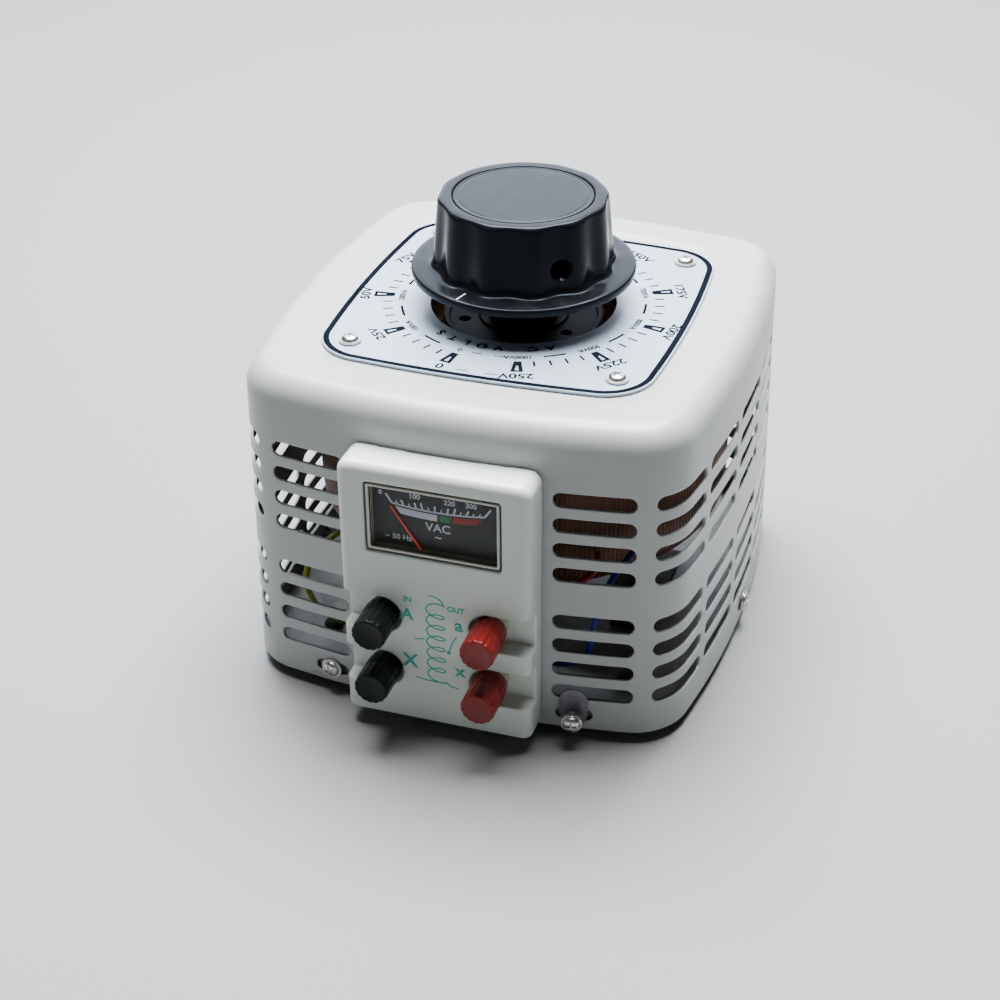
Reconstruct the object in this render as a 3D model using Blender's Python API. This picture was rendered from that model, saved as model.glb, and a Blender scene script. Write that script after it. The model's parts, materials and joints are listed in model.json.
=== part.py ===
"""Bench variable autotransformer: a vented steel case with a wound toroid, a swept carbon brush on a dial
knob, a moving-iron voltmeter and four binding posts on a moulded front panel.

Sizes are millimetres. Inside the model x = y = 0 is the knob's axis and z = 0 the lower edge of the case;
one empty carries everything to the centre of the part's footprint, standing on its feet at z = 0.
"""
import math

import bmesh
import bpy
from mathutils import Matrix, Vector

MM = 0.001
GAP = 0.3

# Case: a rounded square with bowed sides, drawn in 1.2 mm steel, a little wider at the bottom
HALF_X = 93.0
HALF_Y = 96.0
BOW_RADIUS = 400.0
CORNER_RADIUS = 22.0
FLARE = 0.015
FLARE_TOP = 110.0
SHEET = 1.2
CASE_H = 130.0
EDGE_RADIUS = 10.0
RECESS_DEPTH = 1.3
RECESS_HALF = 70.0
CASE_HOLE_R = 40.0
FOOT_H = 5.0
FOOT_SPREAD = 62.0
FOOT_R = 9.0

# Vent slots: eight rows in two blocks of four, columns given by arc length from the middle of the front
SLOT_H = 6.0
SLOT_TOP_Z = 100.8
SLOT_PITCH = 10.57
SLOT_BLOCK_GAP = 10.17
SLOT_COLUMNS = ((40.4, 71.1), (78.2, 109.1), (113.2, 145.3), (150.0, 181.9),
                (186.6, 218.7), (222.8, 253.7), (260.8, 291.5), (296.2, 326.9))

# Screws that hold the case to the base pan, by arc length from the middle of the front
SCREW_Z = 6.5
SCREW_ARC = 49.0
SCREW_HOLE_R = 2.3

# Dial plate
PLATE_HALF = 65.5
PLATE_CORNER = 20.0
PLATE_T = 1.0
PLATE_HOLE_R = 36.6
PLATE_SCREW = 52.5

# Toroid, brush gear and shaft
WINDING_R = (35.0, 83.0)
WINDING_Z = (46.0, 102.0)
CORE_R = (41.0, 77.0)
CORE_Z = (51.0, 97.0)
TRACK_R = (50.0, 64.0)
TRACK_Z = (102.3, 103.1)
SHAFT_R = 5.0
BORE_R = 5.3
TUBE_R = (8.3, 12.0)
BRUSH_R = 57.0
BRUSH_ANGLE = -114.0
GAP_ANGLE = -90.0
WINDING_GAP = 25.0

# Knob
FLANGE_R = 43.8
FLANGE_Z = (143.7, 147.2)
KNOB_TOP_Z = 175.2
KNOB_FOOT_R = 35.0
KNOB_TOP_R = 32.8
KNOB_CAP_R = 27.2
FLUTES = 12
FLUTE_DEPTH = 1.3
SET_SCREW_ANGLE = -48.0
SET_SCREW_Z = 157.5

# Front panel, meter and binding posts
PANEL_HALF = 37.0
PANEL_Z = (2.0, 112.7)
PANEL_FRONT = -110.0
PANEL_WALL = 2.7
WINDOW_HALF = 26.3
WINDOW_Z = (76.3, 105.6)
POST_X = 21.0
POST_Z = (48.5, 24.0)
POST_SEAT_Y = -102.0
POST_FRONT_Y = -124.5
SCOOP_HALF = 7.8
NEEDLE_PIVOT_Z = 69.0
NEEDLE_ANGLE = 34.0
NEEDLE_LENGTH = 31.0

REAR_REACH = HALF_Y * (1 + FLARE)
AXIS_Y = (-POST_FRONT_Y - REAR_REACH) / 2

COLOURS = {
    "grey_enamel": ((0.62, 0.63, 0.63, 1), 0.4, 0.0),
    "zinc_steel": ((0.55, 0.55, 0.53, 1), 0.35, 1.0),
    "black_bakelite": ((0.02, 0.02, 0.025, 1), 0.3, 0.0),
    "red_plastic": ((0.5, 0.03, 0.03, 1), 0.35, 0.0),
    "white_plastic": ((0.75, 0.78, 0.72, 1), 0.4, 0.0),
    "dial_aluminium": ((0.72, 0.78, 0.84, 1), 0.3, 0.6),
    "copper": ((0.35, 0.13, 0.06, 1), 0.4, 0.9),
    "silicon_steel": ((0.3, 0.3, 0.32, 1), 0.5, 0.9),
    "brass": ((0.75, 0.58, 0.28, 1), 0.3, 1.0),
    "pressboard": ((0.35, 0.2, 0.1, 1), 0.7, 0.0),
    "rubber": ((0.03, 0.03, 0.03, 1), 0.8, 0.0),
    "carbon": ((0.05, 0.05, 0.05, 1), 0.6, 0.0),
    "clear_acrylic": ((0.9, 0.9, 0.85, 0.3), 0.05, 0.0),
    "meter_black": ((0.03, 0.03, 0.035, 1), 0.5, 0.0),
    "needle_red": ((0.7, 0.05, 0.03, 1), 0.5, 0.0),
    "blue_pvc": ((0.02, 0.03, 0.3, 1), 0.4, 0.0),
    "red_pvc": ((0.5, 0.03, 0.03, 1), 0.4, 0.0),
    "green_yellow_pvc": ((0.3, 0.5, 0.05, 1), 0.4, 0.0),
}


def material(name):
    """A plain Principled material in the named finish, made once."""
    if name in bpy.data.materials:
        return bpy.data.materials[name]
    colour, rough, metal = COLOURS[name]
    mat = bpy.data.materials.new(name)
    mat.use_nodes = True
    shader = mat.node_tree.nodes["Principled BSDF"]
    shader.inputs["Base Color"].default_value = colour
    shader.inputs["Roughness"].default_value = rough
    shader.inputs["Metallic"].default_value = metal
    return mat


def add(name, verts, faces, finish, at=(0, 0, 0), toward=None, spin=0.0):
    """Put a closed mesh, given in millimetres, in the scene; local +Z turns to point toward a direction."""
    mesh = bpy.data.meshes.new(name)
    mesh.from_pydata([Vector(v) * MM for v in verts], [], faces)
    form = bmesh.new()
    form.from_mesh(mesh)
    bmesh.ops.recalc_face_normals(form, faces=form.faces)
    form.to_mesh(mesh)
    form.free()
    mesh.shade_smooth()
    mesh.set_sharp_from_angle(angle=math.radians(35))
    obj = bpy.data.objects.new(name, mesh)
    bpy.context.collection.objects.link(obj)
    mesh.materials.append(material(finish))
    obj.parent = FRAME
    obj.location = Vector(at) * MM
    obj.rotation_mode = "QUATERNION"
    turn = Matrix.Rotation(spin, 4, "Z").to_quaternion()
    if toward is not None:
        turn = Vector(toward).to_track_quat("Z", "Y") @ turn
    obj.rotation_quaternion = turn
    return obj


def stack(loops, cap=True, ring=False):
    """Skin a list of equal loops; cap the two ends, or join the last loop to the first as a ring."""
    count = len(loops[0])
    verts = [p for loop in loops for p in loop]
    faces = []
    last = len(loops) if ring else len(loops) - 1
    for i in range(last):
        a, b = i * count, ((i + 1) % len(loops)) * count
        for j in range(count):
            k = (j + 1) % count
            faces.append((a + j, a + k, b + k, b + j))
    if cap and not ring:
        faces.append(tuple(range(count)))
        faces.append(tuple(range(len(verts) - count, len(verts))))
    return verts, faces


def circle(r, z, count, centre=(0.0, 0.0)):
    """Points of a circle about the Z direction."""
    steps = (2 * math.pi * i / count for i in range(count))
    return [(centre[0] + r * math.cos(a), centre[1] + r * math.sin(a), z) for a in steps]


def lathe(profile, count=16):
    """Turn a closed (r, z) profile that stays off the axis; its ends are joined as a ring."""
    return stack([circle(r, z, count) for r, z in profile], ring=True)


def solid_lathe(profile, count=16):
    """Turn an open (r, z) profile about Z and cap its first and last circles."""
    return stack([circle(r, z, count) for r, z in profile])


def prism(outline, low, high):
    """Extrude a plan outline from z = low to z = high."""
    return stack([[(x, y, low) for x, y in outline], [(x, y, high) for x, y in outline]])


def rounded_rectangle(half_x, half_y, radius, steps=4, centre=(0.0, 0.0)):
    """Outline of a rectangle with round corners."""
    points = []
    for q, (sx, sy) in enumerate(((1, 1), (-1, 1), (-1, -1), (1, -1))):
        for i in range(steps + 1):
            a = math.pi / 2 * (q + i / steps)
            points.append((centre[0] + sx * (half_x - radius) + radius * math.cos(a),
                           centre[1] + sy * (half_y - radius) + radius * math.sin(a)))
    return points


def block(low, high):
    """A box between two corners."""
    outline = [(low[0], low[1]), (high[0], low[1]), (high[0], high[1]), (low[0], high[1])]
    return prism(outline, low[2], high[2])


def cutter(name, verts, faces, **place):
    """A closed mesh that is only cut away from others."""
    obj = add(name, verts, faces, "zinc_steel", **place)
    obj.hide_render = True
    obj.display_type = "WIRE"
    return obj


def cut(obj, *cutters):
    """Cut each cutter out of an object."""
    for tool in cutters:
        boolean = obj.modifiers.new(tool.name, "BOOLEAN")
        boolean.operation = "DIFFERENCE"
        boolean.object = tool


# Plan of the case: a side is an arc of BOW_RADIUS, a corner an arc of CORNER_RADIUS tangent to two sides
SIDE_OFFSET = BOW_RADIUS - HALF_X
CORNER_REACH = BOW_RADIUS - CORNER_RADIUS
CORNER_AT = (-2 * SIDE_OFFSET + math.sqrt(8 * CORNER_REACH ** 2 - 4 * SIDE_OFFSET ** 2)) / 4
SIDE_ANGLE = math.atan2(CORNER_AT, SIDE_OFFSET + CORNER_AT)
SIDE_ARC = BOW_RADIUS * SIDE_ANGLE
CORNER_ARC = CORNER_RADIUS * (math.pi / 2 - 2 * SIDE_ANGLE)
QUARTER = 2 * SIDE_ARC + CORNER_ARC
SIDE_WEBS = ((SLOT_COLUMNS[3][1] - SLOT_COLUMNS[3][0]) / 2 + 2.3, QUARTER - SLOT_COLUMNS[2][0] + 2.0)
FRONT_WEB = SLOT_COLUMNS[0][0] - 2.3


def flare(z):
    """Scale of the plan at a height: the case widens evenly towards its lower edge."""
    return 1 + FLARE * (FLARE_TOP - z) / FLARE_TOP


def plan_point(t, z=FLARE_TOP, inset=0.0):
    """Point and outward normal of the case's plan at arc length t from the middle of the front."""
    side = math.floor((t + SIDE_ARC) / QUARTER)
    along = t - side * QUARTER
    if along <= SIDE_ARC:
        a = along / BOW_RADIUS
        x, y = BOW_RADIUS * math.sin(a), SIDE_OFFSET - BOW_RADIUS * math.cos(a)
    else:
        a = SIDE_ANGLE + (along - SIDE_ARC) / CORNER_RADIUS
        x, y = CORNER_AT + CORNER_RADIUS * math.sin(a), -CORNER_AT - CORNER_RADIUS * math.cos(a)
    turn = Matrix.Rotation(side * math.pi / 2, 2)
    normal = turn @ Vector((math.sin(a), -math.cos(a)))
    spot = turn @ Vector((x, y)) * flare(z)
    spot.y *= HALF_Y / HALF_X
    return spot - normal * inset, normal


def plan_steps(corner_steps=4):
    """Arc lengths at which the case's plan is drawn, all round: mid-web on the sides, evenly in the corners."""
    steps = []
    for side in range(4):
        middle = side * QUARTER
        webs = (-FRONT_WEB, 0.0, FRONT_WEB) if side % 2 == 0 else (-SIDE_WEBS[1], -SIDE_WEBS[0], *SIDE_WEBS)
        steps.append(middle - SIDE_ARC)
        steps += [middle + web for web in webs]
        steps += [middle + SIDE_ARC + CORNER_ARC * i / corner_steps for i in range(corner_steps)]
    return steps


def plan_loop(z, inset=0.0, scale=1.0):
    """The case's plan at a height, inset along its normals or scaled about the axis."""
    points = (plan_point(t, z, inset)[0] * scale for t in plan_steps())
    return [(p.x, p.y, z) for p in points]


def plan_circle(r, z):
    """A circle with one point for each point of the plan loops."""
    angles = (math.atan2(p[1], p[0]) for p in plan_loop(FLARE_TOP))
    return [(r * math.cos(a), r * math.sin(a), z) for a in angles]


def slot_bar(t0, t1, z):
    """Bar that follows the wall from t0 to t1 and cuts one vent slot with chamfered ends."""
    half, tip = SLOT_H / 2, SLOT_H * 0.3
    bends = [t for t in plan_steps() if t0 + tip < t < t1 - tip]
    bends = [t for t in bends if (t + SIDE_ARC) % QUARTER >= 2 * SIDE_ARC - 0.01]
    loops = []
    for t in [t0, t0 + tip] + bends + [t1 - tip, t1]:
        rise = half * 0.4 if t in (t0, t1) else half
        inner = plan_point(t, z, 4.0)[0]
        outer = plan_point(t, z, -3.0)[0]
        loops.append([(inner.x, inner.y, z - rise), (outer.x, outer.y, z - rise),
                      (outer.x, outer.y, z + rise), (inner.x, inner.y, z + rise)])
    return stack(loops)


def slot_rows():
    """Centre heights of the eight rows of slots."""
    return [SLOT_TOP_Z - SLOT_PITCH * i - (SLOT_BLOCK_GAP if i > 3 else 0.0) for i in range(8)]


def slot_cutters():
    """All the vent slots as one cutter made of separate bars, mirrored left and right."""
    verts, faces = [], []
    for t0, t1 in SLOT_COLUMNS:
        for z in slot_rows():
            bar, skin = slot_bar(t0, t1, z)
            for side in (1, -1):
                base = len(verts)
                verts += [(side * x, y, h) for x, y, h in bar]
                faces += [tuple(base + i for i in (face if side > 0 else face[::-1])) for face in skin]
    return cutter("slot_cutter", verts, faces)


def screw_places():
    """Name, arc length and sign of each place where a screw joins the case to the base pan."""
    full = 2 * QUARTER
    return (("front_left", -SCREW_ARC), ("earth", SCREW_ARC), ("right", QUARTER),
            ("rear_right", full - SCREW_ARC), ("rear_left", full + SCREW_ARC), ("left", 3 * QUARTER))


def screw_hole_cutters():
    """Round bars across the case wall and the pan's flange at each screw."""
    tools = []
    for name, t in screw_places():
        spot, normal = plan_point(t, SCREW_Z, 8.0)
        place = dict(at=(spot.x, spot.y, SCREW_Z), toward=(normal.x, normal.y, 0))
        tools.append(cutter(name + "_hole", *solid_lathe([(SCREW_HOLE_R, 0), (SCREW_HOLE_R, 12)], 8), **place))
    return tools


def enclosure_shell(screw_holes):
    """Drawn cover with a sunk top, a round hole for the knob, vent slots and an opening behind the panel."""
    straight = CASE_H - EDGE_RADIUS
    bends = [math.pi / 2 * i / 4 for i in range(1, 5)]
    sunk = CASE_H - RECESS_DEPTH
    outer = [plan_loop(0), plan_loop(straight)]
    outer += [plan_loop(straight + EDGE_RADIUS * math.sin(a), EDGE_RADIUS * (1 - math.cos(a))) for a in bends]
    outer += [plan_loop(CASE_H, 0, (RECESS_HALF + 2) / HALF_X), plan_loop(sunk, 0, RECESS_HALF / HALF_X)]
    outer.append(plan_circle(CASE_HOLE_R, sunk))
    small = EDGE_RADIUS - SHEET
    inner = [plan_loop(0, SHEET), plan_loop(straight, SHEET)]
    inner += [plan_loop(straight + small * math.sin(a), SHEET + small * (1 - math.cos(a))) for a in bends]
    inner += [plan_loop(CASE_H - SHEET, 0, (RECESS_HALF + 3) / HALF_X),
              plan_loop(sunk - SHEET, 0, (RECESS_HALF + 1) / HALF_X), plan_circle(CASE_HOLE_R, sunk - SHEET)]
    obj = add("enclosure_shell", *stack(outer + inner[::-1], ring=True), "grey_enamel")
    opening = cutter("panel_opening", *block((-31, -110, 14), (31, -80, 108)))
    plate_holes = [cutter("plate_screw_hole_%d" % i, *solid_lathe([(1.9, 120), (1.9, 135)], 8), at=(x, y, 0))
                   for i, (x, y) in enumerate(plate_screw_places())]
    cut(obj, slot_cutters(), opening, *plate_holes, *screw_holes)


def base_plate(screw_holes):
    """Shallow pan that closes the case from below; the case is screwed to its flange."""
    loops = [plan_loop(1.0, 1.7), plan_loop(12.5, 1.7), plan_loop(12.5, 3.2), plan_loop(3.0, 3.2)]
    obj = add("base_plate", *stack(loops), "zinc_steel")
    holes = [cutter("foot_hole_%d" % i, *solid_lathe([(2.9, -3), (2.9, 8)], 8), at=(x, y, 0))
             for i, (x, y) in enumerate(foot_places().values())]
    cut(obj, *holes, *screw_holes)


def foot_places():
    """Centre of each foot by name."""
    return {name: (sx * FOOT_SPREAD, sy * FOOT_SPREAD) for name, sx, sy in (
        ("front_left", -1, -1), ("front_right", 1, -1), ("rear_right", 1, 1), ("rear_left", -1, 1))}


def feet():
    """Rubber feet whose barbed necks snap through the pan."""
    profile = [(FOOT_R - 1.5, -FOOT_H), (FOOT_R, -FOOT_H + 1.5), (FOOT_R, 0.7), (2.5, 0.7), (2.5, 3.3),
               (4.2, 3.4), (2.2, 6.0)]
    for name, (x, y) in foot_places().items():
        add("foot_" + name, *solid_lathe(profile), "rubber", at=(x, y, 0))


def case_screws():
    """Pan head screws with washers; the earth screw is longer and carries its own nut and tag."""
    head = [(1.9, -7.5), (1.9, 0.3), (4.6, 0.3), (4.6, 0.9), (3.4, 0.9), (3.2, 2.3), (2.2, 2.8)]
    stud = [(1.9, -7.5), (1.9, 1.8), (4.2, 1.8), (4.2, 2.6), (3.6, 2.6), (3.6, 5.4), (1.9, 5.4), (1.9, 9.0)]
    for name, t in screw_places():
        spot, normal = plan_point(t, SCREW_Z)
        earth = name == "earth"
        title = "earth_screw" if earth else "case_screw_" + name
        add(title, *solid_lathe(stud if earth else head, 12), "zinc_steel",
            at=(spot.x, spot.y, SCREW_Z), toward=(normal.x, normal.y, 0))
        if earth:
            tag = cutter("tag_hole", *solid_lathe([(2.3, -2), (2.3, 6)], 8),
                         at=(spot.x, spot.y, SCREW_Z), toward=(normal.x, normal.y, 0))
            outline = rounded_rectangle(5.5, 8.5, 5.4, 3, (0, 4.0))
            plate = add("earth_tag", *prism(outline, 0.5, 1.5), "zinc_steel",
                        at=(spot.x, spot.y, SCREW_Z), toward=(normal.x, normal.y, 0))
            cut(plate, tag)


def plate_screw_places():
    """Centres of the four dial plate screws."""
    return [(sx * PLATE_SCREW, sy * PLATE_SCREW) for sx, sy in ((-1, -1), (1, -1), (1, 1), (-1, 1))]


def dial_plate():
    """Printed aluminium dial with a round hole, lying in the sunk top and held by four screws."""
    outline = rounded_rectangle(PLATE_HALF, PLATE_HALF, PLATE_CORNER, 5)
    obj = add("dial_plate", *prism(outline, CASE_H - PLATE_T, CASE_H), "dial_aluminium")
    cut(obj, cutter("dial_bore", *solid_lathe([(PLATE_HOLE_R, 120), (PLATE_HOLE_R, 140)], 40)))
    cut(obj, *[cutter("dial_hole_%d" % i, *solid_lathe([(1.9, 125), (1.9, 135)], 8), at=(x, y, 0))
               for i, (x, y) in enumerate(plate_screw_places())])
    head = [(1.5, -6), (1.5, 0.3), (4.4, 0.3), (4.4, 1.0), (3.3, 1.0), (3.1, 2.4), (1.8, 3.0)]
    for name, (x, y) in zip(("front_left", "front_right", "rear_right", "rear_left"), plate_screw_places()):
        add("dial_screw_" + name, *solid_lathe(head, 12), "zinc_steel", at=(x, y, CASE_H))


def sector(radii, heights, start, sweep, count):
    """A ring of rectangular section swept through part of a turn."""
    loops = []
    for i in range(count + 1):
        a = math.radians(start + sweep * i / count)
        corners = ((radii[0], heights[0]), (radii[1], heights[0]), (radii[1], heights[1]), (radii[0], heights[1]))
        loops.append([(r * math.cos(a), r * math.sin(a), z) for r, z in corners])
    return stack(loops)


def winding():
    """Wound layer round the core: a rectangular sleeve swept round the ring, open at the dial's gap."""
    start, sweep, count = GAP_ANGLE + WINDING_GAP / 2, 360.0 - WINDING_GAP, 32
    verts, faces = [], []
    for i in range(count + 1):
        a = math.radians(start + sweep * i / count)
        for radii, heights, room in ((WINDING_R, WINDING_Z, 0.0), (CORE_R, CORE_Z, 2 * GAP)):
            corners = ((radii[0] - room, heights[0] - room), (radii[1] + room, heights[0] - room),
                       (radii[1] + room, heights[1] + room), (radii[0] - room, heights[1] + room))
            verts += [(r * math.cos(a), r * math.sin(a), z) for r, z in corners]
    for i in range(count):
        a, b = 8 * i, 8 * (i + 1)
        for j in range(4):
            k = (j + 1) % 4
            faces.append((a + j, a + k, b + k, b + j))
            faces.append((a + 4 + k, a + 4 + j, b + 4 + j, b + 4 + k))
    for a in (0, 8 * count):
        faces += [(a + j, a + (j + 1) % 4, a + 4 + (j + 1) % 4, a + 4 + j) for j in range(4)]
    add("winding", verts, faces, "copper")
    add("commutator_track", *sector(TRACK_R, TRACK_Z, start, sweep, count), "copper")


def toroid_support():
    """Core, the bracket it stands on, its insulators and the fixed bearing tube through its middle."""
    ring = [(CORE_R[0], CORE_Z[0]), (CORE_R[1], CORE_Z[0]), (CORE_R[1], CORE_Z[1]), (CORE_R[0], CORE_Z[1])]
    add("toroid_core", *lathe(ring, 32), "silicon_steel")
    hat = [(-62, 3.3), (-46, 3.3), (-46, 39.8), (46, 39.8), (46, 3.3), (62, 3.3), (62, 5.5), (48.5, 5.5),
           (48.5, 42.5), (-48.5, 42.5), (-48.5, 5.5), (-62, 5.5)]
    add("support_bracket", *prism([(x, z) for x, z in hat], -30, 30), "zinc_steel", toward=(0, -1, 0))
    pad = [(13, 42.8), (62, 42.8), (62, 45.7), (13, 45.7)]
    add("lower_insulator", *lathe(pad, 32), "pressboard")
    plate = [(12.3, 102.3), (46, 102.3), (46, 106.0), (12.3, 106.0)]
    add("clamp_plate", *lathe(plate, 32), "black_bakelite")
    tube = [(TUBE_R[0], 42.8), (TUBE_R[1], 42.8), (TUBE_R[1], 111.0), (TUBE_R[0], 111.0)]
    add("bearing_tube", *lathe(tube, 24), "zinc_steel")
    add("tube_nut", *lathe([(12.3, 106.3), (17, 106.3), (17, 109.5), (12.3, 109.5)], 6 * 4), "zinc_steel")
    for name, low, high in (("lower_bush", 43.5, 55.0), ("upper_bush", 99.0, 111.0)):
        bush = [(BORE_R, low), (TUBE_R[0] - GAP, low), (TUBE_R[0] - GAP, high), (BORE_R, high)]
        add(name, *lathe(bush, 24), "brass")
    add("slip_ring", *lathe([(20, 106.3), (29, 106.3), (29, 107.3), (20, 107.3)], 32), "brass")
    add("stop_block", *block((-3, -41, 106.3), (3, -33, 114.0)), "zinc_steel")


def brush_arm():
    """Flat aluminium arm: a round boss on the shaft with a bar that reaches to the brush holder."""
    boss, reach, half = 14.0, 50.6, 4.0
    corner, root = math.degrees(math.atan2(half, reach)), math.degrees(math.asin(half / boss))
    steps = [-corner, 0.0, corner] + [root + (360 - 2 * root) * i / 22 for i in range(23)]
    radii = [math.hypot(reach, half), reach, math.hypot(reach, half)] + [boss] * 23
    loops = []
    for spread, z in ((1, 112.0), (1, 115.0), (0, 115.0), (0, 111.3)):
        loops.append([((r if spread else BORE_R) * math.cos(math.radians(a)),
                       (r if spread else BORE_R) * math.sin(math.radians(a)), z) for a, r in zip(steps, radii)])
    collar = [(8.0 * math.cos(math.radians(a)), 8.0 * math.sin(math.radians(a)), z)
              for z in (111.3, 112.0) for a in steps]
    count = len(steps)
    loops += [collar[:count], collar[count:]]
    add("brush_arm", *stack(loops, ring=True), "dial_aluminium", spin=math.radians(BRUSH_ANGLE))


def brush_gear():
    """Holder, carbon brush and the coil spring that presses it on the track, at the end of the arm."""
    turn = dict(spin=math.radians(BRUSH_ANGLE))
    outer = rounded_rectangle(6.0, 4.6, 0.8, 1, (BRUSH_R, 0))
    inner = rounded_rectangle(4.9, 3.5, 0.4, 1, (BRUSH_R, 0))
    loops = [[(x, y, z) for x, y in ring] for ring, z in
             ((outer, 119.5), (outer, 104.8), (inner, 104.8), (inner, 118.0))]
    add("brush_holder", *stack(loops), "brass", **turn)
    add("carbon_brush", *block((BRUSH_R - 4.5, -3.1, 103.4), (BRUSH_R + 4.5, 3.1, 111.4)), "carbon", **turn)
    turns, count, radius = 3, 25, 2.2
    curve = bpy.data.curves.new("brush_spring", "CURVE")
    curve.dimensions = "3D"
    curve.bevel_depth = 0.4 * MM
    curve.bevel_resolution = 0
    curve.use_fill_caps = True
    line = curve.splines.new("POLY")
    line.points.add(count - 1)
    for i, point in enumerate(line.points):
        a = 2 * math.pi * turns * i / (count - 1)
        point.co = ((BRUSH_R + radius * math.cos(a)) * MM, radius * math.sin(a) * MM,
                    (112.3 + 5.0 * i / (count - 1)) * MM, 1)
    obj = bpy.data.objects.new("brush_spring", curve)
    curve.materials.append(material("zinc_steel"))
    bpy.context.collection.objects.link(obj)
    obj.parent = FRAME
    obj.rotation_euler = (0, 0, math.radians(BRUSH_ANGLE))


def fluted_loop(radius, z, depth, count=48):
    """A circle with shallow hollows, one for each flute, FLUTE_DEPTH deep at the most."""
    points = []
    for i in range(count):
        a = 2 * math.pi * i / count
        r = radius - depth * abs(math.sin(a * FLUTES / 2)) ** 0.7
        points.append((r * math.cos(a), r * math.sin(a), z))
    return points


def knob():
    """Fluted bakelite knob with a broad skirt, fixed to the shaft by a set screw, and its sunk cap disc."""
    flat = KNOB_TOP_Z - 1.8
    loops = [circle(14, 125.6, 48), circle(14, FLANGE_Z[0], 48), circle(FLANGE_R, FLANGE_Z[0], 48),
             circle(FLANGE_R, FLANGE_Z[1], 48), fluted_loop(KNOB_FOOT_R, FLANGE_Z[1], FLUTE_DEPTH),
             fluted_loop(KNOB_TOP_R, KNOB_TOP_Z - 1.5, FLUTE_DEPTH), circle(KNOB_TOP_R - 1.8, KNOB_TOP_Z, 48),
             circle(KNOB_CAP_R + GAP, KNOB_TOP_Z, 48), circle(KNOB_CAP_R + GAP, flat, 48),
             circle(BORE_R, flat, 48), circle(BORE_R, 125.6, 48)]
    obj = add("knob", *stack(loops, ring=True), "black_bakelite")
    a = math.radians(SET_SCREW_ANGLE)
    way = dict(at=(0, 0, SET_SCREW_Z), toward=(math.cos(a), math.sin(a), 0))
    cut(obj, cutter("set_screw_hole", *solid_lathe([(2.5, 4), (2.5, 40)], 12), **way))
    add("knob_set_screw", *solid_lathe([(2.1, 6), (2.1, 18)], 12), "zinc_steel", **way)
    add("knob_cap", *solid_lathe([(KNOB_CAP_R, flat + GAP), (KNOB_CAP_R, KNOB_TOP_Z - 0.2)], 48), "black_bakelite")
    add("shaft", *solid_lathe([(SHAFT_R, 43.5), (SHAFT_R, 168.0)], 24), "zinc_steel")
    hub = [(BORE_R, 115.3), (32, 115.3), (32, 125.3), (BORE_R, 125.3)]
    add("rotor_hub", *lathe(hub, 40), "black_bakelite")


def front_panel():
    """Moulded cover on the front of the case: window for the meter above, scooped seats for posts below."""
    low, high = PANEL_Z
    radius = 4.0
    depth = PANEL_FRONT, -84.0
    box = bmesh.new()
    bmesh.ops.create_cube(box, size=1.0)
    size = (2 * PANEL_HALF, depth[1] - depth[0], high - low)
    centre = (0, sum(depth) / 2, (low + high) / 2)
    for vert in box.verts:
        vert.co = Vector([centre[i] + vert.co[i] * size[i] for i in range(3)])
    front = [e for e in box.edges if all(v.co.y < PANEL_FRONT + 1 for v in e.verts) and
             any(v.co.z > high - 1 for v in e.verts)]
    top = [e for e in box.edges if all(v.co.z > high - 1 for v in e.verts)]
    bmesh.ops.bevel(box, geom=list(set(front + top)), offset=radius, segments=3, profile=0.5, affect="EDGES")
    box.verts.index_update()
    verts = [v.co.copy() for v in box.verts]
    faces = [tuple(v.index for v in f.verts) for f in box.faces]
    box.free()
    obj = add("front_panel", verts, faces, "white_plastic")
    shell = cutter("shell_clearance", *stack([plan_loop(-5, -GAP), plan_loop(125, -GAP)]))
    hollow = cutter("panel_hollow", *block((-34, PANEL_FRONT + PANEL_WALL, 59), (34, -80, 109.5)))
    window = cutter("window_opening", *block((-WINDOW_HALF, -115, WINDOW_Z[0]), (WINDOW_HALF, -90, WINDOW_Z[1])))
    tools = [shell, hollow, window]
    for name, x, z in post_places():
        side = 1 if x > 0 else -1
        arc = [math.pi / 2 + math.pi * i / 8 for i in range(9)]
        outline = [(x + side * SCOOP_HALF * math.cos(a), z + SCOOP_HALF * math.sin(a)) for a in arc]
        outline += [(side * 45, z - SCOOP_HALF), (side * 45, z + SCOOP_HALF)]
        tools.append(cutter("scoop_" + name, *prism(outline, -POST_SEAT_Y, 12 - POST_SEAT_Y),
                            toward=(0, -1, 0)))
        tools.append(cutter("stud_hole_" + name, *solid_lathe([(2.4, -4), (2.4, 30)], 12),
                            at=(x, POST_SEAT_Y, z), toward=(0, 1, 0)))
    cut(obj, *tools)


def post_places():
    """Name, x and z of each binding post: input posts on the left, output posts on the right."""
    return (("in_upper", -POST_X, POST_Z[0]), ("in_lower", -POST_X, POST_Z[1]),
            ("out_upper", POST_X, POST_Z[0]), ("out_lower", POST_X, POST_Z[1]))


def binding_posts():
    """Brass studs with seats, captive clamp washers and insulated screw caps."""
    seat = -POST_SEAT_Y
    stud = [(2.0, 86 - seat), (2.0, 0.3), (5.5, 0.3), (5.5, 3.0), (2.0, 3.0), (2.0, 19.0)]
    washer = [(2.4, 3.3), (5.8, 3.3), (5.8, 4.3), (2.4, 4.3)]
    length = -POST_FRONT_Y - seat
    cap = [(2.4, 4.6), (6.75, 4.6), (6.75, length - 0.8), (5.9, length)]
    for name, x, z in post_places():
        way = dict(at=(x, POST_SEAT_Y, z), toward=(0, -1, 0))
        add("post_stud_" + name, *solid_lathe(stud, 12), "brass", **way)
        add("post_washer_" + name, *lathe(washer, 16), "brass", **way)
        loops = [circle(r, h, 16) for r, h in cap[::-1] + [(2.4, 20.5)]]
        finish = "black_bakelite" if x < 0 else "red_plastic"
        add("post_cap_" + name, *stack(loops), finish, **way)


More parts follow.
